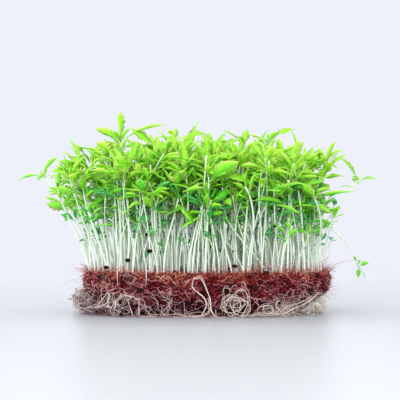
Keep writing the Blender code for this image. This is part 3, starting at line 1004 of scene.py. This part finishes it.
class CRESS_OT_root_mat(Operator):
    """Makes the root mat: a dark core of fibre, and the fine roots that have grown through it"""

    bl_idname = "cress.root_mat"
    bl_label = "Root mat"

    def execute(self, context):
        rng = np.random.default_rng(23)
        # Painted shade: the root mat's core is near black, standing for the shade in the pockets behind its
        # fibres and roots.
        core = core_finish("root_mat_core", *ROOT_MAT_CORE, 4 * MM)
        surface = pad_core(rng, 0.4 * MM, MAT_BOTTOM, 3 * MM, 1.1 * MM)
        add_piece("root_mat_core", surface, core, ["root_mat"])
        count = sizes().fibre_count
        fibre = fibre_finish("root_mat_fibre", ROOT_MAT_STOPS, 8 * MM)
        for half in range(2):
            shares = (half + rng.uniform(0, 1, count)) / 2
            heights = 0.5 * MM + 12 * MM * rng.beta(1.1, 1.5, count)
            tone = rng.beta(1.1, 2.5, count)
            surface = side_fibres(rng, shares, heights, 5.5 * MM, sizes().fibre_radius, 0.6, tone)
            add_piece(f"root_mat_fibres_{half + 1}", surface, fibre)
        root = root_finish("fine_root", ROOT_STOPS)
        creeping = self.fine_roots(rng, heading=0.0, lift=0.0, longest=34 * MM, both_ways=True)
        add_piece("fine_roots_creeping", creeping, root)
        falling = self.fine_roots(rng, heading=-0.5 * math.pi, lift=1.5 * MM, longest=20 * MM)
        add_piece("fine_roots_falling", falling, root)
        return {"FINISHED"}

    def fine_roots(self, rng, heading, lift, longest, both_ways=False):
        """Fine roots that set off over the pad's side at about this angle to the level."""
        count = sizes().root_count
        shares = rng.uniform(0, 1, count)
        heights = (0.5 + 8 * rng.beta(1.1, 1.6, count)) * MM + lift
        heading = heading + rng.normal(0, 0.5, count)
        if both_ways:
            heading = heading + math.pi * (rng.uniform(0, 1, count) < 0.5)
        length = longest * rng.uniform(0.35, 1, count)
        tone = rng.beta(1.5, 1.7, count)
        radius = sizes().root_radius
        return side_roots(rng, shares, heights, heading, length, 0.75, 0.8 * MM, radius, tone)


def wool(rng, shares, tone, height, out_by, thick, length, turning, radius):
    """Strands tangled into a roll that lies along the pad's side. Each has its share of the way round, and
    its distance d from the roll's middle line becomes 2.5rd / (2.3r + d), where r is the roll's radius."""
    count, stations = len(shares), 30
    at, out, around = pad_side(shares, np.full(count, height))
    at[:, 2] = height
    length = length * rng.uniform(0.5, 1.2, count)
    stray = tangled(rng, np.zeros((count, 3)), length, stations, turning, np.zeros(3))
    stray = stray - stray.mean(axis=1, keepdims=True) + rng.normal(0, 0.7 * thick, (count, 1, 3))
    along = dot(stray, around[:, None])
    off = stray - along * around[:, None]
    distance = np.linalg.norm(off, axis=-1, keepdims=True)
    drawn_in = off * (2.5 * thick / (2.3 * thick + distance))
    path = grounded((at + out * out_by)[:, None] + drawn_in + along * around[:, None], THIN_LIFT)
    radii = radius * rng.uniform(0.6, 1.4, (count, 1)) * np.ones((1, stations))
    return rods(path, radii, 4, tone)


def wisps(rng, tone, middle, spread, low, high, length, radius):
    """Single hairs that hang out of the pad's side, one for each tone: tangled lines that lean outwards."""
    count, stations = len(tone), 16
    shares = middle + spread * rng.uniform(-1, 1, count)
    at, out, _ = pad_side(shares, rng.uniform(low, high, count))
    length = length * rng.uniform(0.4, 1.2, count)
    path = grounded(tangled(rng, at - out * MM, length, stations, 1.5, 0.6 * out[:, None]), THIN_LIFT)
    radii = radius * rng.uniform(0.6, 1.3, (count, 1)) * np.linspace(1, 0.5, stations)
    return rods(path, radii, 3, tone)


class CRESS_OT_loose_roots(Operator):
    """Makes the rolls of loose roots at the two ends of the pad"""

    bl_idname = "cress.loose_roots"
    bl_label = "Loose roots"

    def execute(self, context):
        rng = np.random.default_rng(31)
        grey = root_finish("bundle_root", BUNDLE_STOPS, 0.6)
        pale = root_finish("fringe_root", FRINGE_STOPS, 0.6)
        for node, finish, surfaces in (
            ("root_bundle_left", grey, self.left(rng)),
            ("root_bundle_right", pale, self.right(rng)),
        ):
            add_piece(node + "_strands", joined(surfaces), finish, [node])
        return {"FINISHED"}

    def left(self, rng):
        """A tight dark roll, a looser light one round it, and hairs; the inner strands are dark as painted
        shade and the outer ones lighter as painted light.
        """
        inner = self.shares(rng, 150, 0.52, 0.035, 0.44, 0.6)
        outer = self.shares(rng, 64, 0.545, 0.06, 0.42, 0.68)
        # Painted shade and light: the inner strands get dark tones as if shaded inside the roll, the outer
        # ones lighter tones as if lit.
        dark, light = rng.beta(1.0, 2.6, 150), rng.beta(1.7, 1.9, 64)
        tight = {"height": 5.2 * MM, "out_by": 2.4 * MM, "thick": 2.6 * MM, "length": 30 * MM}
        loose = {"height": 6.0 * MM, "out_by": 3.2 * MM, "thick": 3.9 * MM, "length": 34 * MM}
        hairs = {"low": 3 * MM, "high": 18 * MM, "length": 10 * MM, "radius": 0.075 * MM}
        return [
            wool(rng, inner, dark, **tight, turning=2.6, radius=0.15 * MM),
            wool(rng, outer, light, **loose, turning=1.8, radius=0.13 * MM),
            wisps(rng, rng.beta(2, 1.2, 130), middle=0.53, spread=0.13, **hairs),
        ]

    def right(self, rng):
        """A thin pale roll and many hairs."""
        shares = self.shares(rng, 60, 0.985, 0.05, 0.89, 1.1)
        roll = {"height": 2.8 * MM, "out_by": 7 * MM, "thick": 2.4 * MM, "length": 24 * MM}
        hairs = {"low": 0.5 * MM, "high": 10 * MM, "length": 12 * MM, "radius": 0.08 * MM}
        return [
            wool(rng, shares, rng.beta(1.8, 1.8, 60), **roll, turning=2.0, radius=0.08 * MM),
            wisps(rng, rng.beta(1.8, 1.8, 300), middle=0.97, spread=0.12, **hairs),
        ]

    def shares(self, rng, count, middle, spread, low, high):
        """Random shares of the way round, close to a middle one, between two limits."""
        return np.clip(rng.normal(middle, spread, count), low, high)


# Routes of single roots over the pad's front, as X and height in millimetres.
ROOT_ROUTES = (
    ((0.5, 8), (1.4, 4.6), (0.2, 2.2), (-3, 0.9), (-8, 0.5), (-14, 0.4)),
    ((0.6, 6.5), (1.6, 3.4), (3.4, 1.2), (7, 0.5)),
    ((-0.4, 7.4), (0.8, 4), (0.3, 1.6), (-2, 0.5), (-6, 1.2), (-10, 0.6)),
    ((-20.4, 12.6), (-18.6, 9.4), (-16.4, 7.2), (-15.2, 4.2), (-13, 1.6), (-9, 0.5)),
    ((-15, 12), (-16, 8.6), (-15.4, 5.6), (-16.6, 2.4), (-19, 0.6)),
    ((-23, 9), (-20.4, 6.8), (-19.8, 3.4), (-17, 1)),
    ((-39, 11.6), (-41.4, 10), (-42.6, 7), (-44, 3.4)),
    ((-35.4, 9.6), (-37.4, 6.6), (-38.2, 3), (-36, 0.6)),
    ((-31, 8.6), (-34, 8.8), (-37.6, 7), (-40, 3), (-38, 0.6)),
    ((-28.6, 8), (-26, 6.4), (-25.2, 3), (-22, 0.7)),
    ((14.7, 14.4), (15.8, 13), (16.5, 10.4), (16.2, 5.6), (14, 1.2)),
    ((10, 11), (7.8, 12.6), (6.4, 9.4), (7.6, 5)),
    ((23, 4.8), (26.8, 5), (27, 2.2), (23.4, 2), (22.8, 4)),
    ((22.6, 3.4), (25, 3.8), (27.4, 3.4), (29, 1)),
    ((19.6, 8), (21.4, 5), (20.6, 2), (24, 0.6)),
    ((30, 7), (28.4, 4.6), (30.2, 2.4), (34, 1.4)),
    ((44, 8.6), (38, 5.6), (30, 3.2), (22, 1.3), (14, 0.5)),
    ((47, 9.4), (41, 5.4), (34, 2.4), (26, 0.8), (18, 1)),
    ((38, 4), (31, 1.4), (24, 2.2), (17, 0.6)),
    ((-7, 0.5), (-13, 1.4), (-21, 1), (-29, 0.5)),
    ((-13, 3.6), (-9, 1.6), (-3, 2.4), (2, 0.6)),
)


def on_front(line, reach):
    """A line of X and height as points this far in front of the pad: y = -b (1 - |x/a|^n)^(1/n) - reach."""
    half, depth = MAT_BOX[1][0], MAT_BOX[1][1]
    y = -depth * (1 - np.minimum(np.abs(line[:, 0]) / half, 1) ** CORNER_POWER) ** (1 / CORNER_POWER)
    return np.column_stack([line[:, 0], y - reach, line[:, 1]])


class CRESS_OT_front_roots(Operator):
    """Makes the thick roots at the front: the loop, the fork and the coil"""

    bl_idname = "cress.front_roots"
    bl_label = "Front roots"

    def execute(self, context):
        rng = np.random.default_rng(41)
        finish = root_finish("front_root", FRONT_STOPS, 0.4)
        stations = 40
        for node, share in (("root_loop", 1), ("root_fork", 0.75)):
            line = resampled(centre_line(node), stations)
            path = line[None] + wander(rng, 2, stations, 5, 0.3 * MM) * [1, 0.6, 1]
            radii = np.array([0.15, 0.09])[:, None] * MM * np.ones((1, stations)) * share
            surface = rods(grounded(path, THICK_LIFT), radii, 6, rng.uniform(0.5, 0.85, 2))
            add_piece(node + "_strands", surface, finish, [node])
        add_piece("root_coil_strands", self.coil(rng), finish, ["root_coil"])
        add_piece("single_roots", self.single(rng), finish)
        return {"FINISHED"}

    def single(self, rng):
        """Thin roots along the routes, each route twice with its own wandering."""
        stations = 30
        lines = [on_front(smooth_line(route, stations) * MM, 1.1 * MM) for route in ROOT_ROUTES]
        path = np.repeat(np.array(lines), 2, axis=0)
        path = grounded(path + wander(rng, len(path), stations, 6, 0.35 * MM), THIN_LIFT)
        radii = rng.uniform(0.06, 0.12, (len(path), 1)) * MM * np.linspace(1, 0.6, stations)
        return rods(path, radii, 5, rng.uniform(0.2, 0.85, len(path)))

    def coil(self, rng):
        """Strands wound loosely inside a ring: each goes once round or so on an oval of its own, whose middle
        strays from the ring's on the way, so that the turns cross."""
        low, high = (np.array(corner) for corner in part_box("root_coil"))
        middle, reach = (low + high) / 2, (high[0] - low[0]) / 2
        count, stations = 9, 90
        s = np.linspace(0, 1, stations)[None]
        angle = rng.uniform(0, TURN, (count, 1)) + TURN * rng.uniform(0.7, 1.4, (count, 1)) * s
        stray = rng.normal(0, 0.2, (count, 1, 2)) + wander(rng, count, stations, 5, 0.1)[..., :2]
        oval = rng.uniform(0.4, 0.95, (count, 1, 2))
        x = (oval[..., 0] * np.cos(angle) + stray[..., 0]) * reach
        z = (oval[..., 1] * np.sin(angle) + stray[..., 1]) * reach
        y = wander(rng, count, stations, 4, 0.6 * MM)[..., 1]
        path = grounded(middle + np.stack([x, y, z], axis=-1), THICK_LIFT)
        thick = MM * rng.uniform(0.05, 0.095, (count, 1)) * np.ones((1, stations))
        return rods(path, thick, 5, rng.uniform(0.5, 0.95, count))


# Seed coats caught on stems and on the pad's front, as X and height in millimetres.
SEEDS_ON_STEMS = (
    (-26.6, 34.3),
    (-24.5, 26),
    (-31.2, 40),
    (30.8, 36.8),
    (-37.4, 22),
    (-42.4, 20.5),
    (12, 21.5),
)
SEEDS_ON_SIDE = ((20, 12.2), (-27.5, 11.3), (-44.5, 16.5), (-35.4, 1.2), (46.5, 17.2), (43.5, 11))


class CRESS_OT_seed_coats(Operator):
    """Makes the spent seed coats on the mat and on the stems"""

    bl_idname = "cress.seed_coats"
    bl_label = "Seed coats"

    def execute(self, context):
        rng = np.random.default_rng(53)
        nodes = sorted(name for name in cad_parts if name.startswith("seed_coat"))
        boxes = [[np.array(corner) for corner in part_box(node)] for node in nodes]
        places = np.array([(low + high) / 2 for low, high in boxes])
        long_side = np.array([math.atan2(high[1] - low[1], high[0] - low[0]) for low, high in boxes])
        finish = seed_finish("seed_coat", colours())
        add_piece("seed_coats", self.coats(rng, places, long_side), finish, nodes)
        spots = on_pad(rng, 26, 2 * MM)
        lying = np.column_stack([spots, np.full(len(spots), MAT_TOP + 0.7 * MM)])
        caught = on_front(np.array(SEEDS_ON_SIDE) * MM, 1.9 * MM)
        extra = np.vstack([lying, self.on_stems(), caught])
        surface = self.coats(rng, extra, rng.normal(0, 0.6, len(extra)), 1.15)
        add_piece("seed_coats_scattered", surface, finish)
        return {"FINISHED"}

    def on_stems(self):
        """Seed coats that were carried up: each at the front of the front stem that passes nearest."""
        _, _, paths, _ = crowd()
        points = paths[paths[:, 0, 1] < -24 * MM].reshape(-1, 3)
        wanted = np.array(SEEDS_ON_STEMS) * MM
        nearest = np.linalg.norm(points[None, :, [0, 2]] - wanted[:, None], axis=2).argmin(axis=1)
        return points[nearest] - [0, 0.8 * MM, 0]

    def coats(self, rng, places, turns, plump=1.0):
        """Seed coats as stretched balls: rings of r = sqrt(1 - x^2) from one pole to the other, squeezed
        flat, with a blunt end and a groove along each side."""
        count, sides, stations = len(places), 12, 11
        pole = np.linspace(-0.985, 0.985, stations)
        x = np.sin(pole * math.pi / 2)
        ring = np.sqrt(1 - x**2) * (1 - 0.22 * x)
        a = np.arange(sides) * TURN / sides
        groove = 1 - 0.14 * np.exp(-((np.sin(a) / 0.35) ** 2))
        flat = np.stack(
            [
                np.broadcast_to(x[:, None] * 1.45, (stations, sides)),
                ring[:, None] * np.cos(a) * groove * 0.82 * plump,
                ring[:, None] * np.sin(a) * groove * 0.66 * plump**2,
            ],
            axis=-1,
        )
        c, s = np.cos(turns), np.sin(turns)
        spin = np.zeros((count, 3, 3))
        spin[:, 0, 0], spin[:, 0, 1] = c, -s
        spin[:, 1, 0], spin[:, 1, 1] = s, c
        spin[:, 2, 2] = 1
        scale = rng.uniform(0.85, 1.05, (count, 1, 1, 1)) * MM
        rings = np.einsum("nij,mkj->nmki", spin, flat) * scale + places[:, None, None]
        along = np.linspace(0, 1, stations)[None, :, None]
        return ringed(rings, along, np.cos(a)[None, None], rng.uniform(0, 1, count)[:, None, None])


def stem_rods(paths, radius, sides, tone):
    """Stems that thin towards the crown and to the foot, and flare a little just under the crown."""
    shares = np.linspace(0, 1, paths.shape[1])
    foot = 0.5 * (1 - smooth_step(-0.02, 0.17, shares))
    profile = 1 - 0.28 * shares + 0.35 * smooth_step(0.93, 1, shares) - foot
    return rods(paths, radius[:, None] * profile[None], sides, tone)


BROAD_LEAVED = ("front_pale", "front_broad", "front_left", "front_right")


class CRESS_OT_tall_seedlings(Operator):
    """Makes the seedlings that give the block its outline, on the stems and crowns of the frame"""

    bl_idname = "cress.tall_seedlings"
    bl_label = "Tall seedlings"

    def execute(self, context):
        rng = np.random.default_rng(61)
        found = tall_seedlings()
        paths = np.array([resampled(line, 16) for line, _, _ in found])
        radius = np.full(len(found), sizes().stem_radius)
        surface = stem_rods(paths, radius, 8, rng.uniform(0, 1, len(found)))
        nodes = [name + "_stem" for name in SEEDLINGS]
        add_piece("tall_stems", surface, stem_finish("tall_stem", colours()), nodes)
        surface = joined([self.top_leaves(rng, found), self.small_leaves(rng, found, paths)])
        nodes = [name + "_leaves" for name in SEEDLINGS]
        add_piece("tall_leaves", surface, leaf_finish("tall_leaf", *leaf_colours()), nodes)
        return {"FINISHED"}

    def top_leaves(self, rng, found):
        """A leaf from each crown to each of its tips, painted lighter the higher its tip and darker at both
        ends, as light and shade.
        """
        base = np.concatenate([np.repeat(crown[None], len(tips), axis=0) for _, crown, tips in found])
        tip = np.concatenate([tips for _, _, tips in found])
        length = np.linalg.norm(tip - base, axis=1)
        broad = np.repeat([name in BROAD_LEAVED for name in SEEDLINGS], [len(tips) for _, _, tips in found])
        width = length * rng.uniform(0.22, 0.32, len(base)) * np.where(broad, 1.45, 1)
        # Painted light and shade: the tone rises with the tip's height, and the shade term darkens leaves at
        # the block's two ends.
        shade = 0.5 * smooth_step(50 * MM, 70 * MM, np.abs(base[:, 0]))
        tone = 0.3 + (tip[:, 2] / MM - 30) / 60 - shade + rng.normal(0, 0.12, len(base))
        tone = np.clip(tone, 0, 1)
        lift = rng.uniform(0.08, 0.2, len(base))
        return leaves(rng, base, tip, lift, width, tone, sizes().leaf_thickness)

    def small_leaves(self, rng, found, paths):
        """Smaller leaves round each crown, 0.6 as long as its own."""
        count = 5
        crowns = np.array([crown for _, crown, _ in found])
        reach = np.array([np.linalg.norm(tips - crown, axis=1).mean() for _, crown, tips in found])
        base, tip, length = crown_leaves(rng, crowns, last_way(paths), count, reach * 0.6, 4 * MM)
        tip = held_in(tip, LEEWAY)
        tone = np.repeat(rng.uniform(0.45, 1, len(crowns)), count)
        lift = rng.uniform(0.05, 0.2, len(base))
        return leaves(rng, base, tip, lift, length * 0.3, tone, sizes().leaf_thickness)


# Thin shoots at the right end, as X and height in millimetres.
TENDRILS = (
    ((44, 36), (45.2, 28), (48.6, 23.6), (50.8, 29), (49.7, 39)),
    ((46, 34), (48.6, 23), (52.4, 24.6), (53, 32), (51.5, 39.5)),
)


def crowd_feet(rng):
    """Places of the stems: a grid of equal triangles, each point moved at random, inside the outline."""
    gap = sizes().seedling_gap
    steps = np.arange(-14, 15)
    i, j = np.meshgrid(steps, steps)
    spots = np.column_stack([(i + 0.5 * (j % 2)).ravel() * gap, j.ravel() * gap * math.sqrt(0.75)])
    spots = spots + rng.normal(0, 0.24 * gap, spots.shape)
    spots = spots[rim_share(spots, MAT_BOX[1][:2] - 1.6 * MM) < 1]
    taken = np.array([centre_line(name + "_stem")[0][:2] for name in SEEDLINGS])
    near = np.linalg.norm(spots[:, None] - taken[None], axis=2).min(axis=1)
    return spots[near > 1.6 * MM]


def crowd_crowns(rng, feet):
    """Places of the crowns: above the feet, leaning out towards the edge, under a flat dome, and lower
    by a random drop that is larger at the rim. At the left end they lean out further, and at the right end
    they lean in. Some stray further than the rest."""
    rim = rim_share(feet, MAT_BOX[1][:2])[:, None] ** (2 / CORNER_POWER)
    spots = feet * (1.02 + 0.1 * rim) + rng.normal(0, 3.6 * MM, feet.shape)
    spots[:, 0] -= 6 * MM * smooth_step(28 * MM, 52 * MM, -feet[:, 0])
    spots[:, 0] -= 10 * MM * smooth_step(26 * MM, 52 * MM, feet[:, 0])
    stray = rng.uniform(0, 1, len(feet)) < 0.28
    spots[stray] += rng.normal(0, 7 * MM, (stray.sum(), 2))
    spots = held_in(spots, -rng.uniform(0, 5 * MM, (len(feet), 1)))
    x, y = np.abs(spots[:, 0]) / (60 * MM), np.abs(spots[:, 1]) / (44 * MM)
    dome = 9.5 * MM * np.minimum(x, 1.1) ** 3
    top = sizes().canopy_height - dome - 9 * MM * np.minimum(y, 1.1) ** 4
    drop = rng.beta(1.2, 1.9, len(feet)) * (24 + 8 * rim[:, 0]) * MM
    return np.column_stack([spots, np.maximum(top - drop, MAT_TOP + 16 * MM)])


def crowd():
    """The crowd's random numbers, feet, stem paths and stem radii."""
    rng = np.random.default_rng(71)
    feet = crowd_feet(rng)
    crowns = crowd_crowns(rng, feet)
    bow = np.column_stack([rng.normal(0, 3.6 * MM, (len(feet), 2)), np.zeros(len(feet))])
    paths = stem_paths(rng, feet, crowns, 13, bow)
    return rng, feet, paths, sizes().stem_radius * rng.uniform(0.65, 1.2, len(feet))


class CRESS_OT_crowd(Operator):
    """Makes the crowd of seedlings that fills the block"""

    bl_idname = "cress.crowd"
    bl_label = "Crowd of seedlings"

    def execute(self, context):
        rng, feet, paths, radius = crowd()
        stem = stem_finish("crowd_stem", colours())
        leaf = leaf_finish("crowd_leaf", *leaf_colours())
        add_piece("tendrils", self.tendrils(rng), stem)
        order = np.argsort(feet[:, 1])
        for number, rows in enumerate(np.array_split(order, 6), 1):
            surface = stem_rods(paths[rows], radius[rows], 7, rng.uniform(0, 1, len(rows)))
            add_piece(f"crowd_stems_{number}", surface, stem)
            add_piece(f"crowd_leaves_{number}", self.crown_surface(rng, paths[rows]), leaf)
        return {"FINISHED"}

    def tendrils(self, rng):
        """Thin curling shoots that hang at the right end."""
        stations, y = 24, np.full(24, -11 * MM)
        lines = [smooth_line(route, stations) * MM for route in TENDRILS]
        path = np.repeat([np.column_stack([line[:, 0], y, line[:, 1]]) for line in lines], 2, axis=0)
        path = path + wander(rng, len(path), stations, 3, 1.2 * MM) * [0.6, 2, 0.6]
        radii = rng.uniform(0.12, 0.2, (len(path), 1)) * MM * np.linspace(1, 0.6, stations)
        return rods(path, radii, 5, rng.uniform(0, 0.6, len(path)))

    def crown_surface(self, rng, paths):
        """Ten leaves to a crown, longer on high crowns, and greener and darker low in the crowd as painted
        shade. The tips stay in the frame's box in X by half as much again as LEEWAY, and may stand past it by
        LEEWAY in Y."""
        count = 10
        crowns = paths[:, -1]
        share = smooth_step(36 * MM, 64 * MM, crowns[:, 2])
        length = sizes().leaf_length * (0.7 + 0.5 * share) * rng.uniform(0.85, 1.2, len(crowns))
        base, tip, length = crown_leaves(rng, crowns, last_way(paths), count, length, 8 * MM)
        tip = held_in(tip, np.array([-1.5, 1]) * LEEWAY)
        broad = rng.uniform(0, 1, len(base)) < 0.1
        broad_share, usual_share = rng.uniform(0.34, 0.46, len(base)), rng.uniform(0.18, 0.31, len(base))
        width = length * np.where(broad, broad_share, usual_share)
        # Painted shade: low crowns get the deep colour of shaded leaves, high ones the lit fresh colour.
        tone = np.clip(np.repeat(0.1 + 0.75 * share, count) + rng.normal(0, 0.2, len(base)), 0, 1)
        lift = rng.uniform(0.01, 0.17, len(base))
        return leaves(rng, base, tip, lift, width, tone, sizes().leaf_thickness)


class CRESS_OT_young_seedlings(Operator):
    """Makes the short dark-leaved seedlings between the tall stems"""

    bl_idname = "cress.young_seedlings"
    bl_label = "Young seedlings"

    def execute(self, context):
        rng = np.random.default_rng(83)
        feet = on_pad(rng, sizes().young_count, 2 * MM)
        feet[::2, 1] = -np.abs(feet[::2, 1])
        count = len(feet)
        spots = feet * 1.03 + rng.normal(0, 3 * MM, feet.shape)
        taller = rng.uniform(0, 1, count) < 0.72
        rise = np.where(taller, rng.uniform(20, 38, count), rng.uniform(6, 22, count)) * MM
        crowns = np.column_stack([spots, MAT_TOP + rise])
        bow = np.column_stack([rng.normal(0, 2 * MM, (count, 2)), np.zeros(count)])
        paths = stem_paths(rng, feet, crowns, 11, bow)
        radius = sizes().stem_radius * rng.uniform(0.45, 0.75, count)
        surface = stem_rods(paths, radius, 6, rng.uniform(0, 1, count))
        own = colours()
        add_piece("young_stems", surface, stem_finish("young_stem", own))
        finish = leaf_finish("young_leaf", own.young_deep, own.leaf_shaded, own.leaf_pale)
        add_piece("young_leaves", self.blades(rng, crowns, last_way(paths)), finish)
        return {"FINISHED"}

    def blades(self, rng, crowns, ways):
        """Four broad leaves with plain edges to a crown, longer on the higher ones; the higher ones are
        lighter and the low ones darker, as painted light and shade.
        """
        count = 4
        tall = smooth_step(MAT_TOP + 10 * MM, MAT_TOP + 34 * MM, crowns[:, 2])
        reach = (3.2 + 4.2 * tall + rng.uniform(0, 1.8, len(crowns))) * MM
        base, tip, length = crown_leaves(rng, crowns, ways, count, reach, 1.5 * MM)
        # Painted shade: the tone rises with the crown's height, so that low seedlings under the canopy are
        # darker.
        tone = np.repeat(0.25 * tall, count) + rng.uniform(0, 0.3, len(base))
        width = length * rng.uniform(0.34, 0.5, len(base))
        lift = np.full(len(base), 0.15)
        return leaves(rng, base, tip, lift, width, tone, 0.3 * MM, teeth=False, stalk=0.2)


# The stage's places, in metres.
KEY_PLACE, KEY_WIDTH = (-0.8, -0.1, 2.0), 2.2
FILL_PLACE, FILL_WIDTH = (-0.3, -1.3, 0.45), 1.2
LIT_POINT = (0, 0, 40 * MM)
CAMERA_ASIDE = -2.9 * MM
CAMERA_TILT = math.radians(91.7)  # a quarter turn is level
CAMERA_NEAR = 0.01
FLOOR_HALF, FLOOR_FRONT = 1.6, -1.3
FLOOR_PAINTED_LIGHT = 1.26  # how much lighter the floor is where its painted light is strongest
GLOW = 1.5  # the strength of the light from all round


class CRESS_OT_stage(Operator):
    """Makes the floor, the lights and the camera"""

    bl_idname = "cress.stage"
    bl_label = "Stage"

    def execute(self, context):
        stage = context.scene.cress_stage
        self.floor(stage)
        self.light("key_light", KEY_PLACE, KEY_WIDTH, stage.key_power)
        self.light("fill_light", FILL_PLACE, FILL_WIDTH, stage.fill_power)
        self.air(context.scene)
        camera = bpy.data.objects.new("camera", bpy.data.cameras.new("camera"))
        context.scene.collection.objects.link(camera)
        camera.location = (CAMERA_ASIDE, -stage.camera_distance, stage.camera_height)
        camera.rotation_euler = (CAMERA_TILT, 0, 0)
        camera.data.lens = stage.camera_lens
        camera.data.clip_start = CAMERA_NEAR
        context.scene.camera = camera
        context.scene.view_settings.view_transform = "Standard"
        return {"FINISHED"}

    def floor(self, stage):
        """A flat sheet from well in front of the block to a little way behind it, with painted light. It is
        lighter right in front of the block, where its shadow falls, by a ramp in Y times a ramp in |X|, and
        behind it, where the lamps reach less, by a slower ramp in Y."""
        half, front, back = FLOOR_HALF, FLOOR_FRONT, stage.floor_depth
        corners = [(-half, front, 0), (half, front, 0), (half, back, 0), (-half, back, 0)]
        mesh = bpy.data.meshes.new("floor")
        mesh.from_pydata(corners, [], [(0, 1, 2, 3)])
        f = Finish("floor")
        x, y, _ = f.split(f.object_space())
        # Painted light: lighter in front of the block, where its shadow falls, and behind it, where the
        # lamps' light falls off.
        before = f.clamped((-0.03 - y) * 16) * f.clamped(1.35 - abs(x) * 16)
        behind = f.clamped(y * 3 - 0.4) * 0.55
        raised = tuple(FLOOR_PAINTED_LIGHT * part for part in colours().floor)
        floor_with_painted_light = f.mix(before + behind, colours().floor, raised)
        mesh.materials.append(f.finished(Base_Color=floor_with_painted_light, Roughness=0.35, Specular_IOR_Level=0.24))
        sheet = bpy.data.objects.new("floor", mesh)
        bpy.context.scene.collection.objects.link(sheet)

    def light(self, name, place, width, power):
        """A square light that faces the block's middle."""
        lamp = bpy.data.lights.new(name, "AREA")
        lamp.size = width
        lamp.energy = power
        made = bpy.data.objects.new(name, lamp)
        bpy.context.scene.collection.objects.link(made)
        made.location = place
        aim = Vector(LIT_POINT) - made.location
        made.rotation_euler = aim.to_track_quat("-Z", "Y").to_euler()

    def air(self, scene):
        """Even light from all round, in the background's colour and stronger than the background seen."""
        scene.world = bpy.data.worlds.new("air")
        scene.world.use_nodes = True
        tree = scene.world.node_tree
        backing = tree.nodes["Background"]
        backing.inputs["Color"].default_value = (*colours().air, 1)
        glow = tree.nodes.new("ShaderNodeBackground")
        glow.inputs["Color"].default_value = (*colours().air, 1)
        glow.inputs["Strength"].default_value = GLOW
        seen = tree.nodes.new("ShaderNodeLightPath")
        mixed = tree.nodes.new("ShaderNodeMixShader")
        tree.links.new(seen.outputs["Is Camera Ray"], mixed.inputs["Fac"])
        tree.links.new(glow.outputs["Background"], mixed.inputs[1])
        tree.links.new(backing.outputs["Background"], mixed.inputs[2])
        tree.links.new(mixed.outputs["Shader"], tree.nodes["World Output"].inputs["Surface"])


OPERATORS = (
    CRESS_OT_stage,
    CRESS_OT_felt_mat,
    CRESS_OT_root_mat,
    CRESS_OT_loose_roots,
    CRESS_OT_front_roots,
    CRESS_OT_seed_coats,
    CRESS_OT_tall_seedlings,
    CRESS_OT_crowd,
    CRESS_OT_young_seedlings,
)


class CRESS_PT_pieces(Panel):
    """Lists what makes the block's pieces"""

    bl_idname = "CRESS_PT_pieces"
    bl_label = "Cress microgreens"
    bl_space_type = "VIEW_3D"
    bl_region_type = "UI"
    bl_category = "Cress"

    def draw(self, context):
        for group in (context.scene.cress_sizes, context.scene.cress_colours, context.scene.cress_stage):
            box = self.layout.box()
            for key in group.__annotations__:
                box.prop(group, key)
        for operator in OPERATORS:
            self.layout.operator(operator.bl_idname)


CLASSES = (CressSizes, CressColours, CressStage, *OPERATORS, CRESS_PT_pieces)


def register():
    """Adds the classes, and the three groups of settings to the scene."""
    for cls in CLASSES:
        bpy.utils.register_class(cls)
    bpy.types.Scene.cress_sizes = PointerProperty(type=CressSizes)
    bpy.types.Scene.cress_colours = PointerProperty(type=CressColours)
    bpy.types.Scene.cress_stage = PointerProperty(type=CressStage)


def unregister():
    """Takes away what register added."""
    del bpy.types.Scene.cress_stage
    del bpy.types.Scene.cress_colours
    del bpy.types.Scene.cress_sizes
    for cls in reversed(CLASSES):
        bpy.utils.unregister_class(cls)


def main():
    """Makes every piece."""
    register()
    for operator in OPERATORS:
        group, name = operator.bl_idname.split(".")
        getattr(getattr(bpy.ops, group), name)()


if __name__ == "__main__":
    main()
